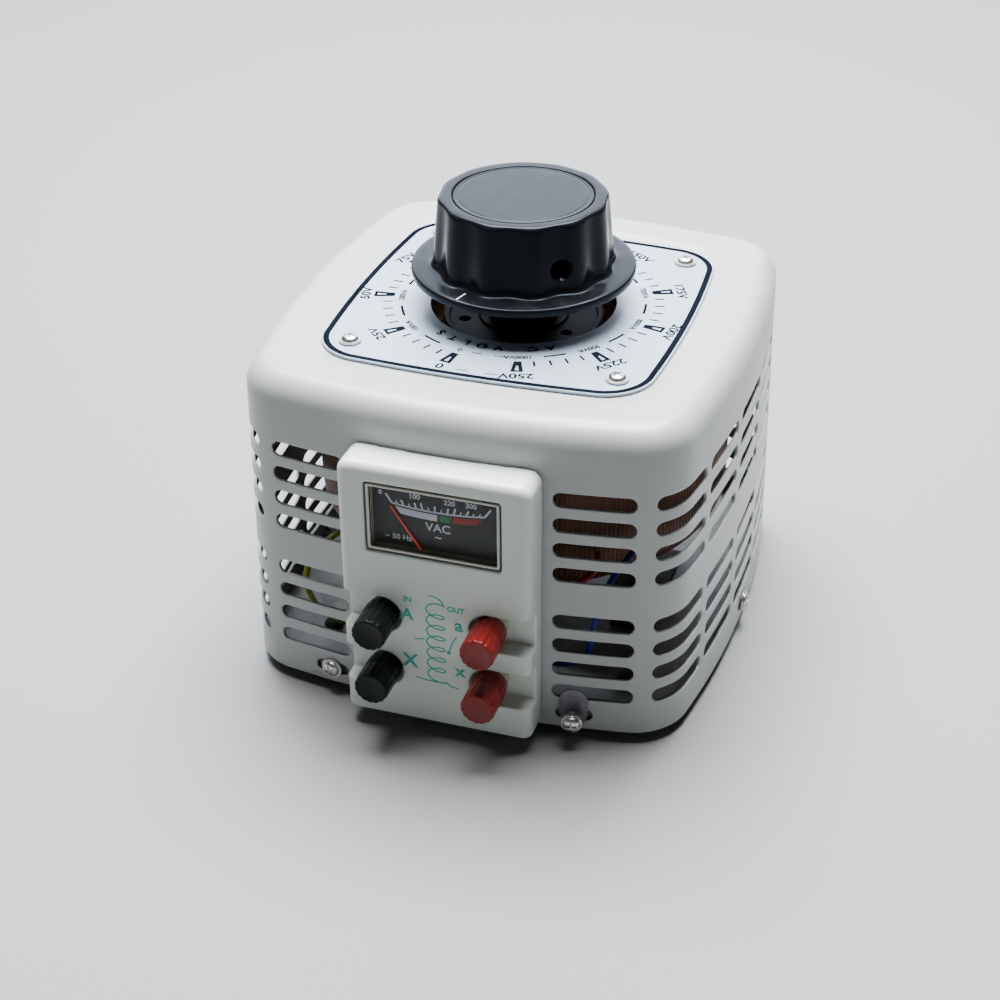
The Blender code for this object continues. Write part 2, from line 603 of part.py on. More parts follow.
def meter():
    """Panel voltmeter: case with a sunk front, printed dial, pivoted needle and a clear window."""
    rim = rounded_rectangle(26.8, 21.0, 1.5, 2, (0, 85.5))
    well = rounded_rectangle(25.0, 19.2, 0.6, 2, (0, 85.5))
    loops = [[(x, depth, z) for x, z in ring] for ring, depth in
             ((rim, -84.0), (rim, -107.0), (well, -107.0), (well, -104.2))]
    add("meter_case", *stack(loops), "meter_black")
    add("meter_dial", *block((-24.6, -104.9, 66.7), (24.6, -104.5, 104.3)), "meter_black")
    glass = rounded_rectangle(26.0, 14.35, 0.8, 2, (0, 90.95))
    add("meter_window", *stack([[(x, d, z) for x, z in glass] for d in (-109.6, -107.3)]), "clear_acrylic")
    hub = [(2.2 * math.cos(a), 2.2 * math.sin(a)) for a in (math.pi * (0.5 + (i + 0.5) / 6) for i in range(6))]
    hub += [(2.2 * math.cos(a), 2.2 * math.sin(a)) for a in (math.pi * (1.5 + (i + 0.5) / 6) for i in range(6))]
    outline = hub[1:] + [(0.35, NEEDLE_LENGTH), (-0.35, NEEDLE_LENGTH)]
    a = math.radians(NEEDLE_ANGLE)
    turned = [(x * math.cos(a) - y * math.sin(a), x * math.sin(a) + y * math.cos(a)) for x, y in outline]
    loops = [[(x, d, y + NEEDLE_PIVOT_Z) for x, y in turned] for d in (-106.1, -105.5)]
    add("meter_needle", *stack(loops), "needle_red")


def lead(name, finish, route, radius=1.2, steps=4):
    """Insulated wire along a smooth curve through its route's points."""
    ends = [Vector(p) for p in route]
    ends = [2 * ends[0] - ends[1]] + ends + [2 * ends[-1] - ends[-2]]
    points = []
    for i in range(1, len(ends) - 2):
        p0, p1, p2, p3 = ends[i - 1:i + 3]
        for j in range(steps):
            s = j / steps
            points.append(0.5 * (2 * p1 + (p2 - p0) * s + (2 * p0 - 5 * p1 + 4 * p2 - p3) * s ** 2 +
                                 (3 * p1 - p0 - 3 * p2 + p3) * s ** 3))
    points.append(ends[-2])
    curve = bpy.data.curves.new(name, "CURVE")
    curve.dimensions = "3D"
    curve.bevel_depth = radius * MM
    curve.bevel_resolution = 2
    curve.use_fill_caps = True
    line = curve.splines.new("POLY")
    line.points.add(len(points) - 1)
    for slot, point in zip(line.points, points):
        slot.co = (*(point * MM), 1)
    obj = bpy.data.objects.new(name, curve)
    curve.materials.append(material(finish))
    bpy.context.collection.objects.link(obj)
    obj.parent = FRAME


def leads():
    """Leads from the posts' tails to the winding, and the earth lead from the pan to the bracket."""
    lead("lead_blue", "blue_pvc", [(21, -84.3, 24), (24, -79, 20), (38, -78, 16.5), (50, -79, 24), (53, -80, 40),
                                   (57, -77, 55), (64, -66, 66), (68.5, -57.5, 70), (67.4, -51.4, 72)])
    lead("lead_red", "red_pvc", [(21, -84.3, 48.5), (26, -83.5, 49), (36, -80, 50), (46, -77, 55),
                                 (51.5, -73, 60), (50.9, -67.8, 64)])
    lead("lead_earth", "green_yellow_pvc", [(-40, -56, 4.8), (-52, -68, 9), (-66, -72, 20), (-70, -66, 34),
                                            (-64, -46, 38), (-50.5, -24, 36)])


for old in list(bpy.data.objects):
    bpy.data.objects.remove(old, do_unlink=True)
FRAME = bpy.data.objects.new("footprint_centre", None)
FRAME.location = (0, AXIS_Y * MM, FOOT_H * MM)
bpy.context.collection.objects.link(FRAME)

holes = screw_hole_cutters()
enclosure_shell(holes)
base_plate(holes)
feet()
case_screws()
dial_plate()
toroid_support()
winding()
brush_arm()
brush_gear()
knob()
front_panel()
binding_posts()
meter()
leads()
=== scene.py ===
import json
import math

import bmesh
import bpy
import numpy as np
from mathutils import Matrix, Vector


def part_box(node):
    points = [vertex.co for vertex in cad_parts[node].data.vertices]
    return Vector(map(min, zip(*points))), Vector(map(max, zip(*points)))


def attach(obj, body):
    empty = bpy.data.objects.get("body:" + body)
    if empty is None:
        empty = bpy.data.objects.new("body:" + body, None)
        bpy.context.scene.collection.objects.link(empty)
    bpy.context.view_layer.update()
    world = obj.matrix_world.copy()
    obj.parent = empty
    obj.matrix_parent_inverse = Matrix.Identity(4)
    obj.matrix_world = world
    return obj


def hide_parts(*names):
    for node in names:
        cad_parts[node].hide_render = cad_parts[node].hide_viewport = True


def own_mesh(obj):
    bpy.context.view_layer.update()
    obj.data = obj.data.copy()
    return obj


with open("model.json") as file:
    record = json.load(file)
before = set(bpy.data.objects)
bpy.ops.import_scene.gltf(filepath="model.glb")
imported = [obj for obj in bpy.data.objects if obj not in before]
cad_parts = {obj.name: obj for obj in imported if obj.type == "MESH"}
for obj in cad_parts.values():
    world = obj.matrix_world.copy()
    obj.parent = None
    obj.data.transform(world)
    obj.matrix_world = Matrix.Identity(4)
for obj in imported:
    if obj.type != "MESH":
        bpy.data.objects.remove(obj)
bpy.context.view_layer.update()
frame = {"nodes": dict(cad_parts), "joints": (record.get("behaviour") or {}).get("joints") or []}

# ---------------------------------------------------------------------------------------------------------
# Studio: a pale floor, a large soft light overhead, a cool soft light behind and two weak fills in front.
# The camera stands in front and to the right, looking down on the dial.
# ---------------------------------------------------------------------------------------------------------
knob_joint = next(joint for joint in frame["joints"] if joint["name"] == "knob_turn")
AXIS_Y = knob_joint["pos_m"][1]
CASE_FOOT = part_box("enclosure_shell")[0].z
FLOOR_HALF = 6.0
FLOOR_COLOUR = (0.235, 0.237, 0.239, 1)
EYE = Vector((0.2146, AXIS_Y - 0.6753, CASE_FOOT + 0.4770))
EYE_YAW, EYE_PITCH, EYE_ROLL = 0.322, 0.555, -0.010
LENS_MM, SENSOR_MM = 71.8, 36.0


def aim(yaw, pitch, roll):
    """Rotation of a camera that looks along +Y, turned left by yaw, down by pitch and rolled."""
    forward = Vector((-math.sin(yaw) * math.cos(pitch), math.cos(yaw) * math.cos(pitch), -math.sin(pitch)))
    right = Vector((math.cos(yaw), math.sin(yaw), 0))
    up = right.cross(forward)
    side = right * math.cos(roll) + up * math.sin(roll)
    top = up * math.cos(roll) - right * math.sin(roll)
    return Matrix((side, top, -forward)).transposed().to_4x4()


def soft_light(name, place, target, size, power, colour):
    """A square area light at a place, facing a target."""
    data = bpy.data.lights.new(name, "AREA")
    data.shape = "SQUARE"
    data.size = size
    data.energy = power
    data.color = colour
    lamp = bpy.data.objects.new(name, data)
    lamp.location = place
    lamp.rotation_euler = (Vector(target) - Vector(place)).to_track_quat("-Z", "Y").to_euler()
    bpy.context.scene.collection.objects.link(lamp)


floor_mesh = bpy.data.meshes.new("floor")
floor_mesh.from_pydata([(x * FLOOR_HALF, y * FLOOR_HALF, 0) for x, y in ((-1, -1), (1, -1), (1, 1), (-1,
                                                                                                     1))],
                       [], [(0, 1, 2, 3)])
floor = bpy.data.objects.new("floor", floor_mesh)
bpy.context.scene.collection.objects.link(floor)
floor_finish = bpy.data.materials.new("floor_paper")
floor_finish.use_nodes = True
floor_finish.node_tree.nodes["Principled BSDF"].inputs["Base Color"].default_value = FLOOR_COLOUR
floor_finish.node_tree.nodes["Principled BSDF"].inputs["Roughness"].default_value = 0.7
floor_mesh.materials.append(floor_finish)

CENTRE = (0, 0, 0.08)
soft_light("overhead", (-0.1, 0.42, 1.46), CENTRE, 1.1, 162, (0.97, 0.99, 1.0))
soft_light("behind", (-0.60, 1.9, 1.4), CENTRE, 2.7, 108, (0.78, 0.87, 1.0))
soft_light("front_left", (-1.3, -1.3, 0.9), CENTRE, 1.0, 0.6, (1.0, 1.0, 1.0))
soft_light("front_right", (1.3, -0.9, 0.9), CENTRE, 1.0, 0.4, (1.0, 0.99, 0.97))
world = bpy.data.worlds.new("room")
world.use_nodes = True
world.node_tree.nodes["Background"].inputs["Color"].default_value = (0.78, 0.84, 0.92, 1)
world.node_tree.nodes["Background"].inputs["Strength"].default_value = 0.06
bpy.context.scene.world = world

camera_data = bpy.data.cameras.new("camera")
camera_data.lens = LENS_MM
camera_data.sensor_width = SENSOR_MM
camera = bpy.data.objects.new("camera", camera_data)
camera.matrix_world = Matrix.Translation(EYE) @ aim(EYE_YAW, EYE_PITCH, EYE_ROLL)
bpy.context.scene.collection.objects.link(camera)
bpy.context.scene.camera = camera

# ---------------------------------------------------------------------------------------------------------
# Case: 1.2 mm steel drawn into a rounded square with bowed sides, punched with rows of vent slots and
# stoved in light grey enamel. The top is sunk a little where the dial lies.
# ---------------------------------------------------------------------------------------------------------
HALF_X, HALF_Y = 93.0, 96.0
BOW, CORNER = 400.0, 22.0
FLARE, FLARE_TOP = 0.015, 110.0
SHEET = 1.2
CASE_H = 130.0
EDGE = 10.0
RECESS = 1.3
SLOT_HALF = 3.0
SLOT_ROWS = [100.8 - 10.57 * i - (10.17 if i > 3 else 0) for i in range(8)]
ROW_HALF = 10.57 / 2
SLOT_COLUMNS = ((40.4, 71.1), (78.2, 109.1), (113.2, 145.3), (150.0, 181.9),
                (186.6, 218.7), (222.8, 253.7), (260.8, 291.5), (296.2, 326.9))
PANEL_WEB = 38.1
SCREW_Z = 6.5
SCREW_ARC = 49.0
OFFSET = BOW - HALF_X
REACH = BOW - CORNER
CORNER_AT = (-2 * OFFSET + math.sqrt(8 * REACH ** 2 - 4 * OFFSET ** 2)) / 4
SIDE_ANGLE = math.atan2(CORNER_AT, OFFSET + CORNER_AT)
SIDE_ARC = BOW * SIDE_ANGLE
QUARTER = 2 * SIDE_ARC + CORNER * (math.pi / 2 - 2 * SIDE_ANGLE)


def plan(t, z, out=0.0):
    """Point of the case's wall at arc length t from the middle of the front and height z, moved out
    along the plan's normal: a side is an arc of radius BOW, a corner one of radius CORNER,
    each turned by quarters."""
    t, z, out = np.broadcast_arrays(np.asarray(t, float), z, out)
    side = np.floor((t + SIDE_ARC) / QUARTER)
    along = t - side * QUARTER
    flat = along <= SIDE_ARC
    a = np.where(flat, along / BOW, SIDE_ANGLE + (along - SIDE_ARC) / CORNER)
    x = np.where(flat, BOW * np.sin(a), CORNER_AT + CORNER * np.sin(a))
    y = np.where(flat, OFFSET - BOW * np.cos(a), -CORNER_AT - CORNER * np.cos(a))
    c, s = np.cos(side * np.pi / 2), np.sin(side * np.pi / 2)
    wide = 1 + FLARE * (FLARE_TOP - z) / FLARE_TOP
    return np.stack([(x * c - y * s) * wide + (np.sin(a) * c + np.cos(a) * s) * out,
                     (x * s + y * c) * wide * HALF_Y / HALF_X + (np.sin(a) * s - np.cos(a) * c) * out,
                     z.astype(float)], -1)


def quads(rows, cols, close_rows=False, close_cols=False):
    """Faces of a grid whose points are stored row by row; either way round may be closed."""
    i, j = np.meshgrid(np.arange(rows if close_rows else rows - 1),
                       np.arange(cols if close_cols else cols - 1), indexing="ij")
    i2, j2 = (i + 1) % rows, (j + 1) % cols
    return np.stack([i * cols + j, i * cols + j2, i2 * cols + j2, i2 * cols + j], -1).reshape(-1, 4)


def joined(parts):
    """One (points, faces) pair from several."""
    points, faces, base = [], [], 0
    for some, skin in parts:
        points.append(np.asarray(some, float).reshape(-1, 3))
        faces += [[base + int(k) for k in face] for face in skin]
        base += len(points[-1])
    return np.concatenate(points), faces


def form(name, points, faces, sharp=35):
    """A welded mesh object from points in millimetres about the knob's axis at the case's lower edge."""
    place = np.asarray(points, float).reshape(-1, 3) * 0.001 + np.array([0, AXIS_Y, CASE_FOOT])
    mesh = bpy.data.meshes.new(name)
    mesh.from_pydata(place.tolist(), [], [tuple(int(k) for k in face) for face in faces])
    shape = bmesh.new()
    shape.from_mesh(mesh)
    bmesh.ops.remove_doubles(shape, verts=shape.verts, dist=2e-6)
    bmesh.ops.recalc_face_normals(shape, faces=shape.faces)
    shape.to_mesh(mesh)
    shape.free()
    mesh.shade_smooth()
    mesh.set_sharp_from_angle(angle=math.radians(sharp))
    obj = bpy.data.objects.new(name, mesh)
    bpy.context.scene.collection.objects.link(obj)
    return obj


def fit(obj, finish, slot, body, *nodes):
    """Give a piece its material, set it on its body and let it stand for CAD nodes; the slot is not used."""
    obj.data.materials.clear()
    obj.data.materials.append(finish)
    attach(obj, body)
    if nodes:
        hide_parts(*nodes)
    return obj


def surface_group():
    """Shader group of every finish: cloudy colour, uneven gloss, fine grain and dust on level faces."""
    group = bpy.data.node_groups.new("worn_surface", "ShaderNodeTree")
    sockets = (("Colour", "NodeSocketColor", (0.5, 0.5, 0.5, 1)),
               ("Cloud Colour", "NodeSocketColor", (0.5, 0.5, 0.5, 1)),
               ("Cloud Scale", "NodeSocketFloat", 40.0), ("Cloudiness", "NodeSocketFloat", 0.5),
               ("Roughness", "NodeSocketFloat", 0.4), ("Gloss Spread", "NodeSocketFloat", 0.1),
               ("Grain Scale", "NodeSocketFloat", 900.0), ("Grain Height", "NodeSocketFloat", 0.1),
               ("Dust", "NodeSocketFloat", 0.1))
    for name, kind, value in sockets:
        group.interface.new_socket(name, in_out="INPUT", socket_type=kind).default_value = value
    for name, kind in (("Colour", "NodeSocketColor"), ("Roughness", "NodeSocketFloat"),
                       ("Normal", "NodeSocketVector")):
        group.interface.new_socket(name, in_out="OUTPUT", socket_type=kind)
    nodes, link = group.nodes, group.links.new
    into, out = nodes.new("NodeGroupInput"), nodes.new("NodeGroupOutput")
    coord = nodes.new("ShaderNodeTexCoord")
    cloud, grain, fleck = (nodes.new("ShaderNodeTexNoise") for _ in range(3))
    for noise, detail in ((cloud, 4.0), (grain, 3.0), (fleck, 6.0)):
        noise.inputs["Detail"].default_value = detail
        link(coord.outputs["Object"], noise.inputs["Vector"])
    link(into.outputs["Cloud Scale"], cloud.inputs["Scale"])
    link(into.outputs["Grain Scale"], grain.inputs["Scale"])
    fleck.inputs["Scale"].default_value = 130.0
    spread = nodes.new("ShaderNodeMapRange")
    spread.inputs["From Min"].default_value = 0.35
    spread.inputs["From Max"].default_value = 0.7
    link(cloud.outputs["Fac"], spread.inputs["Value"])
    amount = nodes.new("ShaderNodeMath")
    amount.operation = "MULTIPLY"
    link(spread.outputs["Result"], amount.inputs[0])
    link(into.outputs["Cloudiness"], amount.inputs[1])
    mix = nodes.new("ShaderNodeMix")
    mix.data_type = "RGBA"
    link(amount.outputs[0], mix.inputs["Factor"])
    link(into.outputs["Colour"], mix.inputs["A"])
    link(into.outputs["Cloud Colour"], mix.inputs["B"])
    face = nodes.new("ShaderNodeNewGeometry")
    parts = nodes.new("ShaderNodeSeparateXYZ")
    link(face.outputs["Normal"], parts.inputs[0])
    level = nodes.new("ShaderNodeMapRange")
    level.inputs["From Min"].default_value = 0.6
    link(parts.outputs["Z"], level.inputs["Value"])
    specks = nodes.new("ShaderNodeMapRange")
    specks.inputs["From Min"].default_value = 0.5
    specks.inputs["From Max"].default_value = 0.75
    link(fleck.outputs["Fac"], specks.inputs["Value"])
    dust = nodes.new("ShaderNodeMath")
    dust.operation = "MULTIPLY"
    link(level.outputs["Result"], dust.inputs[0])
    link(specks.outputs["Result"], dust.inputs[1])
    dusting = nodes.new("ShaderNodeMath")
    dusting.operation = "MULTIPLY"
    link(dust.outputs[0], dusting.inputs[0])
    link(into.outputs["Dust"], dusting.inputs[1])
    powder = nodes.new("ShaderNodeMix")
    powder.data_type = "RGBA"
    powder.inputs["B"].default_value = (0.42, 0.41, 0.39, 1)
    link(dusting.outputs[0], powder.inputs["Factor"])
    link(mix.outputs["Result"], powder.inputs["A"])
    link(powder.outputs["Result"], out.inputs["Colour"])
    gloss = nodes.new("ShaderNodeMath")
    gloss.operation = "MULTIPLY_ADD"
    link(fleck.outputs["Fac"], gloss.inputs[0])
    link(into.outputs["Gloss Spread"], gloss.inputs[1])
    link(into.outputs["Roughness"], gloss.inputs[2])
    dull = nodes.new("ShaderNodeMath")
    dull.operation = "MULTIPLY_ADD"
    dull.inputs[1].default_value = 0.4
    dull.use_clamp = True
    link(dusting.outputs[0], dull.inputs[0])
    link(gloss.outputs[0], dull.inputs[2])
    link(dull.outputs[0], out.inputs["Roughness"])
    bump = nodes.new("ShaderNodeBump")
    bump.inputs["Distance"].default_value = 0.0002
    link(into.outputs["Grain Height"], bump.inputs["Strength"])
    link(grain.outputs["Fac"], bump.inputs["Height"])
    link(bump.outputs["Normal"], out.inputs["Normal"])
    return group


WORN = surface_group()


def finish(name, colour, rough, metal=0.0, cloud=None, cloudiness=0.5, cloud_scale=40.0, spread=0.1,
           grain=900.0, height=0.1, dust=0.1, **sockets):
    """A Principled material fed by the worn-surface group; further sockets are set on the shader itself."""
    mat = bpy.data.materials.new(name)
    mat.use_nodes = True
    tree = mat.node_tree
    shader = tree.nodes["Principled BSDF"]
    worn = tree.nodes.new("ShaderNodeGroup")
    worn.node_tree = WORN
    values = {"Colour": (*colour, 1), "Cloud Colour": (*(cloud or colour), 1), "Cloud Scale": cloud_scale,
              "Cloudiness": cloudiness, "Roughness": rough - spread / 2, "Gloss Spread": spread,
              "Grain Scale": grain, "Grain Height": height, "Dust": dust}
    for key, value in values.items():
        worn.inputs[key].default_value = value
    tree.links.new(worn.outputs["Colour"], shader.inputs["Base Color"])
    tree.links.new(worn.outputs["Roughness"], shader.inputs["Roughness"])
    tree.links.new(worn.outputs["Normal"], shader.inputs["Normal"])
    shader.inputs["Metallic"].default_value = metal
    for key, value in sockets.items():
        shader.inputs[key.replace("_", " ")].default_value = value
    return mat


def wall_cell(ts, zs, hole):
    """A patch of wall, outside and inside, with a hole: rings of points run from the patch's edge to the
    hole's rim, over a rounded lip and through the sheet, and back out along the inside."""
    edge = [(t, zs[0]) for t in ts[:-1]] + [(ts[-1], z) for z in zs[:-1]]
    edge += [(t, zs[-1]) for t in ts[:0:-1]] + [(ts[0], z) for z in zs[:0:-1]]
    edge = np.array(edge)
    rim, away = hole(edge, ts, zs)
    rings = [(edge, 0.0), (rim + away * 1.0, 0.0), (rim + away * 0.4, 0.0), (rim + away * 0.12, -0.12),
             (rim, -0.4), (rim, -SHEET), (edge, -SHEET)]
    points = np.concatenate([plan(p[:, 0], p[:, 1], out) for p, out in rings])
    return points, quads(len(rings), len(edge), close_cols=True)


def round_ended(t0, t1, z, half):
    """Rim of a slot with round ends: the patch's long edges map to its straight sides."""
    def rim(edge, ts, zs):
        n, m = len(ts) - 1, len(zs) - 1
        straight = np.linspace(t0 + half, t1 - half, n - 1)
        ends = np.radians(np.linspace(-90, 90, m + 3))[1:-1]
        low = np.stack([straight, np.full(n - 1, z - half)], -1)
        right = np.stack([t1 - half + half * np.cos(ends), z + half * np.sin(ends)], -1)
        high = low[::-1] + [0, 2 * half]
        left = np.stack([t0 + half - half * np.cos(ends), z - half * np.sin(ends)], -1)
        line = np.concatenate([low, right, high, left])
        line = np.roll(line, 1, axis=0)
        middle = np.stack([np.clip(line[:, 0], t0 + half, t1 - half), np.full(len(line), z)], -1)
        away = (line - middle) / half
        return line, away
    return rim


def square_cut(scale_t, scale_z):
    """Rim of a rectangular opening: the patch's edge shrunk about its middle."""
    def rim(edge, ts, zs):
        middle = np.array([(ts[0] + ts[-1]) / 2, (zs[0] + zs[-1]) / 2])
        line = middle + (edge - middle) * [scale_t, scale_z]
        return line, np.zeros_like(line)
    return rim


def case_shell():
    """The whole drawn case: cells round each slot, plain bands between them, and the rolled and sunk top."""
    right = list(SLOT_COLUMNS)
    left = [(4 * QUARTER - b, 4 * QUARTER - a) for a, b in reversed(right)]
    columns = right + left
    edges = [PANEL_WEB] + [(a[1] + b[0]) / 2 for a, b in zip(columns[:-1], columns[1:])]
    edges.append(4 * QUARTER - PANEL_WEB)
    spans = [np.linspace(a, b, 15) for a, b in zip(edges[:-1], edges[1:])]
    front = np.linspace(edges[-1], edges[0] + 4 * QUARTER, 15)
    lip = 0.3
    rows = [np.linspace(z - ROW_HALF, z + ROW_HALF, 7) for z in SLOT_ROWS]
    bands = [np.linspace(rows[4][-1], rows[3][0], 3)]
    low = np.linspace(lip, rows[-1][0], 7)
    parts = []
    for (t0, t1), ts in zip(columns, spans):
        for z, zs in zip(SLOT_ROWS, rows):
            parts.append(wall_cell(ts, zs, round_ended(t0, t1, z, SLOT_HALF)))
        for zs in bands:
            for out in (0.0, -SHEET):
                parts.append((plan(ts[None], zs[:, None], out), quads(len(zs), len(ts))))
        screws = [s for s in screw_arcs() if ts[0] < s < ts[-1]]
        if screws:
            parts.append(wall_cell(ts, low, round_ended(screws[0] - 7.0, screws[0] + 7.0, SCREW_Z, 2.4)))
        else:
            for out in (0.0, -SHEET):
                parts.append((plan(ts[None], low[:, None], out), quads(len(low), len(ts))))
    tall = np.unique(np.round(np.concatenate(rows + bands), 6))
    parts.append(wall_cell(front, tall, square_cut(0.8, 0.95)))
    for out in (0.0, -SHEET):
        parts.append((plan(front[None], low[:, None], out), quads(len(low), len(front))))
    around = np.concatenate([ts[:-1] for ts in spans] + [front[:-1]])
    rim = [(lip, 0.0), (0.09, -0.09), (0.0, -lip), (0.0, lip - SHEET), (0.09, 0.09 - SHEET), (lip, -SHEET)]
    rim = np.array([plan(around, z, out) for z, out in rim])
    parts.append((rim, quads(len(rim), len(around), close_cols=True)))
    parts.append(case_top(around, rows[0][-1]))
    return joined(parts)


def screw_arcs():
    """Arc lengths of the screws that hold the case to the pan, one at each washer."""
    return [SCREW_ARC, QUARTER, 2 * QUARTER - SCREW_ARC, 2 * QUARTER + SCREW_ARC, 3 * QUARTER,
            4 * QUARTER - SCREW_ARC]


def case_top(around, start):
    """Top of the case as loops: up the wall, over the rolled edge, across the top, softly down into the sunk
    part and in to the round hole, then back along the inside."""
    bends = np.radians(np.linspace(0, 90, 11))
    straight = CASE_H - EDGE

    def skin(depth):
        loops = [plan(around, z, -depth) for z in np.linspace(start, straight, 4)[:-1]]
        radius = EDGE - depth
        loops += [plan(around, straight + radius * np.sin(a), -depth - radius * (1 - np.cos(a)))
                  for a in bends]
        for scale in np.linspace(0.875, 0.70, 15):
            step = np.clip((0.80 - scale) / 0.055, 0, 1)
            sunk = RECESS * step * step * (3 - 2 * step)
            loop = plan(around, CASE_H) * [scale, scale, 1]
            loops.append(loop - [0, 0, sunk + depth])
        hole = loops[-1].copy()
        radii = np.hypot(hole[:, 0], hole[:, 1])[:, None]
        hole[:, :2] *= 40.0 / radii
        return loops + [hole]

    loops = np.array(skin(0.0) + skin(SHEET)[::-1])
    return loops, quads(len(loops), len(around), close_cols=True)


enamel = finish("grey_enamel", (0.38, 0.393, 0.385), 0.36, cloud=(0.345, 0.358, 0.35), cloud_scale=14.0,
                spread=0.12, grain=520.0, height=0.12, dust=0.12, Coat_Weight=0.12, Coat_Roughness=0.18)
# Inside faces: a near-black finish that paints the shade inside the case.
inside_shade_paint = finish("inside_painted_shade", (0.10, 0.10, 0.095), 0.6, cloud=(0.075, 0.072, 0.068), cloud_scale=30.0,
                grain=500.0, height=0.15, dust=0.3)
shell_piece = fit(form("case_shell", *case_shell()), enamel, "grey_enamel", "housing", "enclosure_shell")


def paint_inside_shade(mesh):
    """Dark second finish, painted shade of the case's inside, on the faces that look inward: those whose
    normal points to the middle of the case.
    """
    count = len(mesh.polygons)
    centre, normal = np.empty(count * 3), np.empty(count * 3)
    mesh.polygons.foreach_get("center", centre)
    mesh.polygons.foreach_get("normal", normal)
    centre, normal = centre.reshape(-1, 3) - [0, AXIS_Y, 0.07], normal.reshape(-1, 3)
    inward = (centre * normal).sum(1) < -0.02
    mesh.polygons.foreach_set("material_index", inward.astype(np.int32))


shell_piece.data.materials.append(inside_shade_paint)
paint_inside_shade(shell_piece.data)

# ---------------------------------------------------------------------------------------------------------
# Dial: a square of printed aluminium with round corners and a round hole, lying in the sunk top. The scale
# runs clockwise from zero in thin dark ink, with the load in volt-amperes on an inner ring.
# ---------------------------------------------------------------------------------------------------------
DIAL_HALF, DIAL_CORNER, DIAL_HOLE = 65.5, 20.0, 36.6
DIAL_T = 1.0
DIAL_BOW = 1.9
INK = 0.05
ZERO_ANGLE, SWEEP = -102.3, 332.7
FULL_VOLTS = 250


def round_square(half, radius, steps=12, sides=14):
    """Outline of a square with round corners and slightly bowed sides, anticlockwise: each side swells by
    DIAL_BOW x (1 - (place along it / half its length) squared)."""
    flat = half - radius
    points = []
    for q in range(4):
        place = np.linspace(-flat, flat, sides, endpoint=False)
        run = np.stack([half + DIAL_BOW * (1 - (place / flat) ** 2), place], -1)
        a = np.linspace(0, np.pi / 2, steps, endpoint=False)
        bend = np.stack([flat + radius * np.cos(a), flat + radius * np.sin(a)], -1)
        turn = np.array([[0, 1], [-1, 0]]) if q else np.eye(2)
        line = np.concatenate([run, bend])
        for _ in range(q):
            line = line @ turn
        points.append(line)
    return np.concatenate(points)


def level(outline, z):
    """A plan outline set at a height."""
    return np.column_stack([outline, np.full(len(outline), z)])


def dial_sheet():
    """The dial plate as loops, from its outer edge across to the hole and back underneath."""
    top, low, soft = CASE_H, CASE_H - DIAL_T, 0.15
    shape = round_square(DIAL_HALF, DIAL_CORNER)
    unit = shape / np.hypot(*shape.T)[:, None]
    inside = round_square(DIAL_HALF - soft, DIAL_CORNER - soft)
    loops = [level(inside, low), level(shape, low + soft), level(shape, top - soft), level(inside, top)]
    loops += [level(inside * (1 - k) + unit * DIAL_HOLE * k, top) for k in (0.3, 0.6, 0.9)]
    loops += [level(unit * (DIAL_HOLE + soft), top), level(unit * DIAL_HOLE, top - soft),
              level(unit * DIAL_HOLE, low)]
    loops = np.array(loops)
    return loops, quads(len(loops), len(shape), close_rows=True, close_cols=True)


def ribbon(path, width, low, high):
    """A flat strip of even width along a plan path, closed at both ends."""
    path = np.asarray(path, float)
    along = np.gradient(path, axis=0)
    along /= np.hypot(*along.T)[:, None]
    across = np.stack([-along[:, 1], along[:, 0]], -1) * width / 2
    rows = np.stack([level(path + across, low), level(path - across, low),
                     level(path - across, high), level(path + across, high)], 1)
    count = len(path)
    faces = quads(count, 4, close_cols=True).tolist()
    ends = [[0, 1, 2, 3], [4 * count - 4, 4 * count - 3, 4 * count - 2, 4 * count - 1]]
    return rows.reshape(-1, 3), faces + ends


def ring_band(outer, inner, low, high):
    """A thin flat band between two outlines with the same number of points."""
    loops = np.array([level(outer, low), level(outer, high), level(inner, high), level(inner, low)])
    return loops, quads(4, len(outer), close_rows=True, close_cols=True)


def glyphs(text, height, weight=0.0, low=0.0, thick=INK):
    """Solid letters on the plane z = low, centred on the origin."""
    curve = bpy.data.curves.new("glyph", "FONT")
    curve.body = text
    curve.size = height
    curve.align_x = "CENTER"
    curve.align_y = "CENTER"
    curve.resolution_u = 4
    curve.offset = weight
    curve.extrude = thick / 2
    obj = bpy.data.objects.new("glyph", curve)
    bpy.context.scene.collection.objects.link(obj)
    mesh = obj.evaluated_get(bpy.context.evaluated_depsgraph_get()).to_mesh()
    points = np.array([v.co for v in mesh.vertices]) + [0, 0, low + thick / 2]
    faces = [list(p.vertices) for p in mesh.polygons]
    bpy.data.objects.remove(obj)
    bpy.data.curves.remove(curve)
    return points, faces


def dial_angle(volts):
    """Angle of a reading on the dial, in radians; the scale runs clockwise."""
    return math.radians(ZERO_ANGLE - SWEEP * volts / FULL_VOLTS)


def radial(points, angle, radius):
    """Turn flat artwork so that its top points outward at an angle, and move it out to a radius."""
    x, y, z = np.asarray(points, float).reshape(-1, 3).T
    s, c = math.sin(angle), math.cos(angle)
    return np.stack([x * s + (y + radius) * c, -x * c + (y + radius) * s, z], -1)


def main_mark(low, high):
    """Mark at each 25 volts: a tapered bar with a slim window in it."""
    outer = np.array([(-1.45, -4.1), (1.45, -4.1), (2.4, 4.1), (-2.4, 4.1)])
    inner = np.array([(-0.3, -0.6), (0.3, -0.6), (0.8, 2.9), (-0.8, 2.9)])
    return ring_band(outer, inner, low, high)


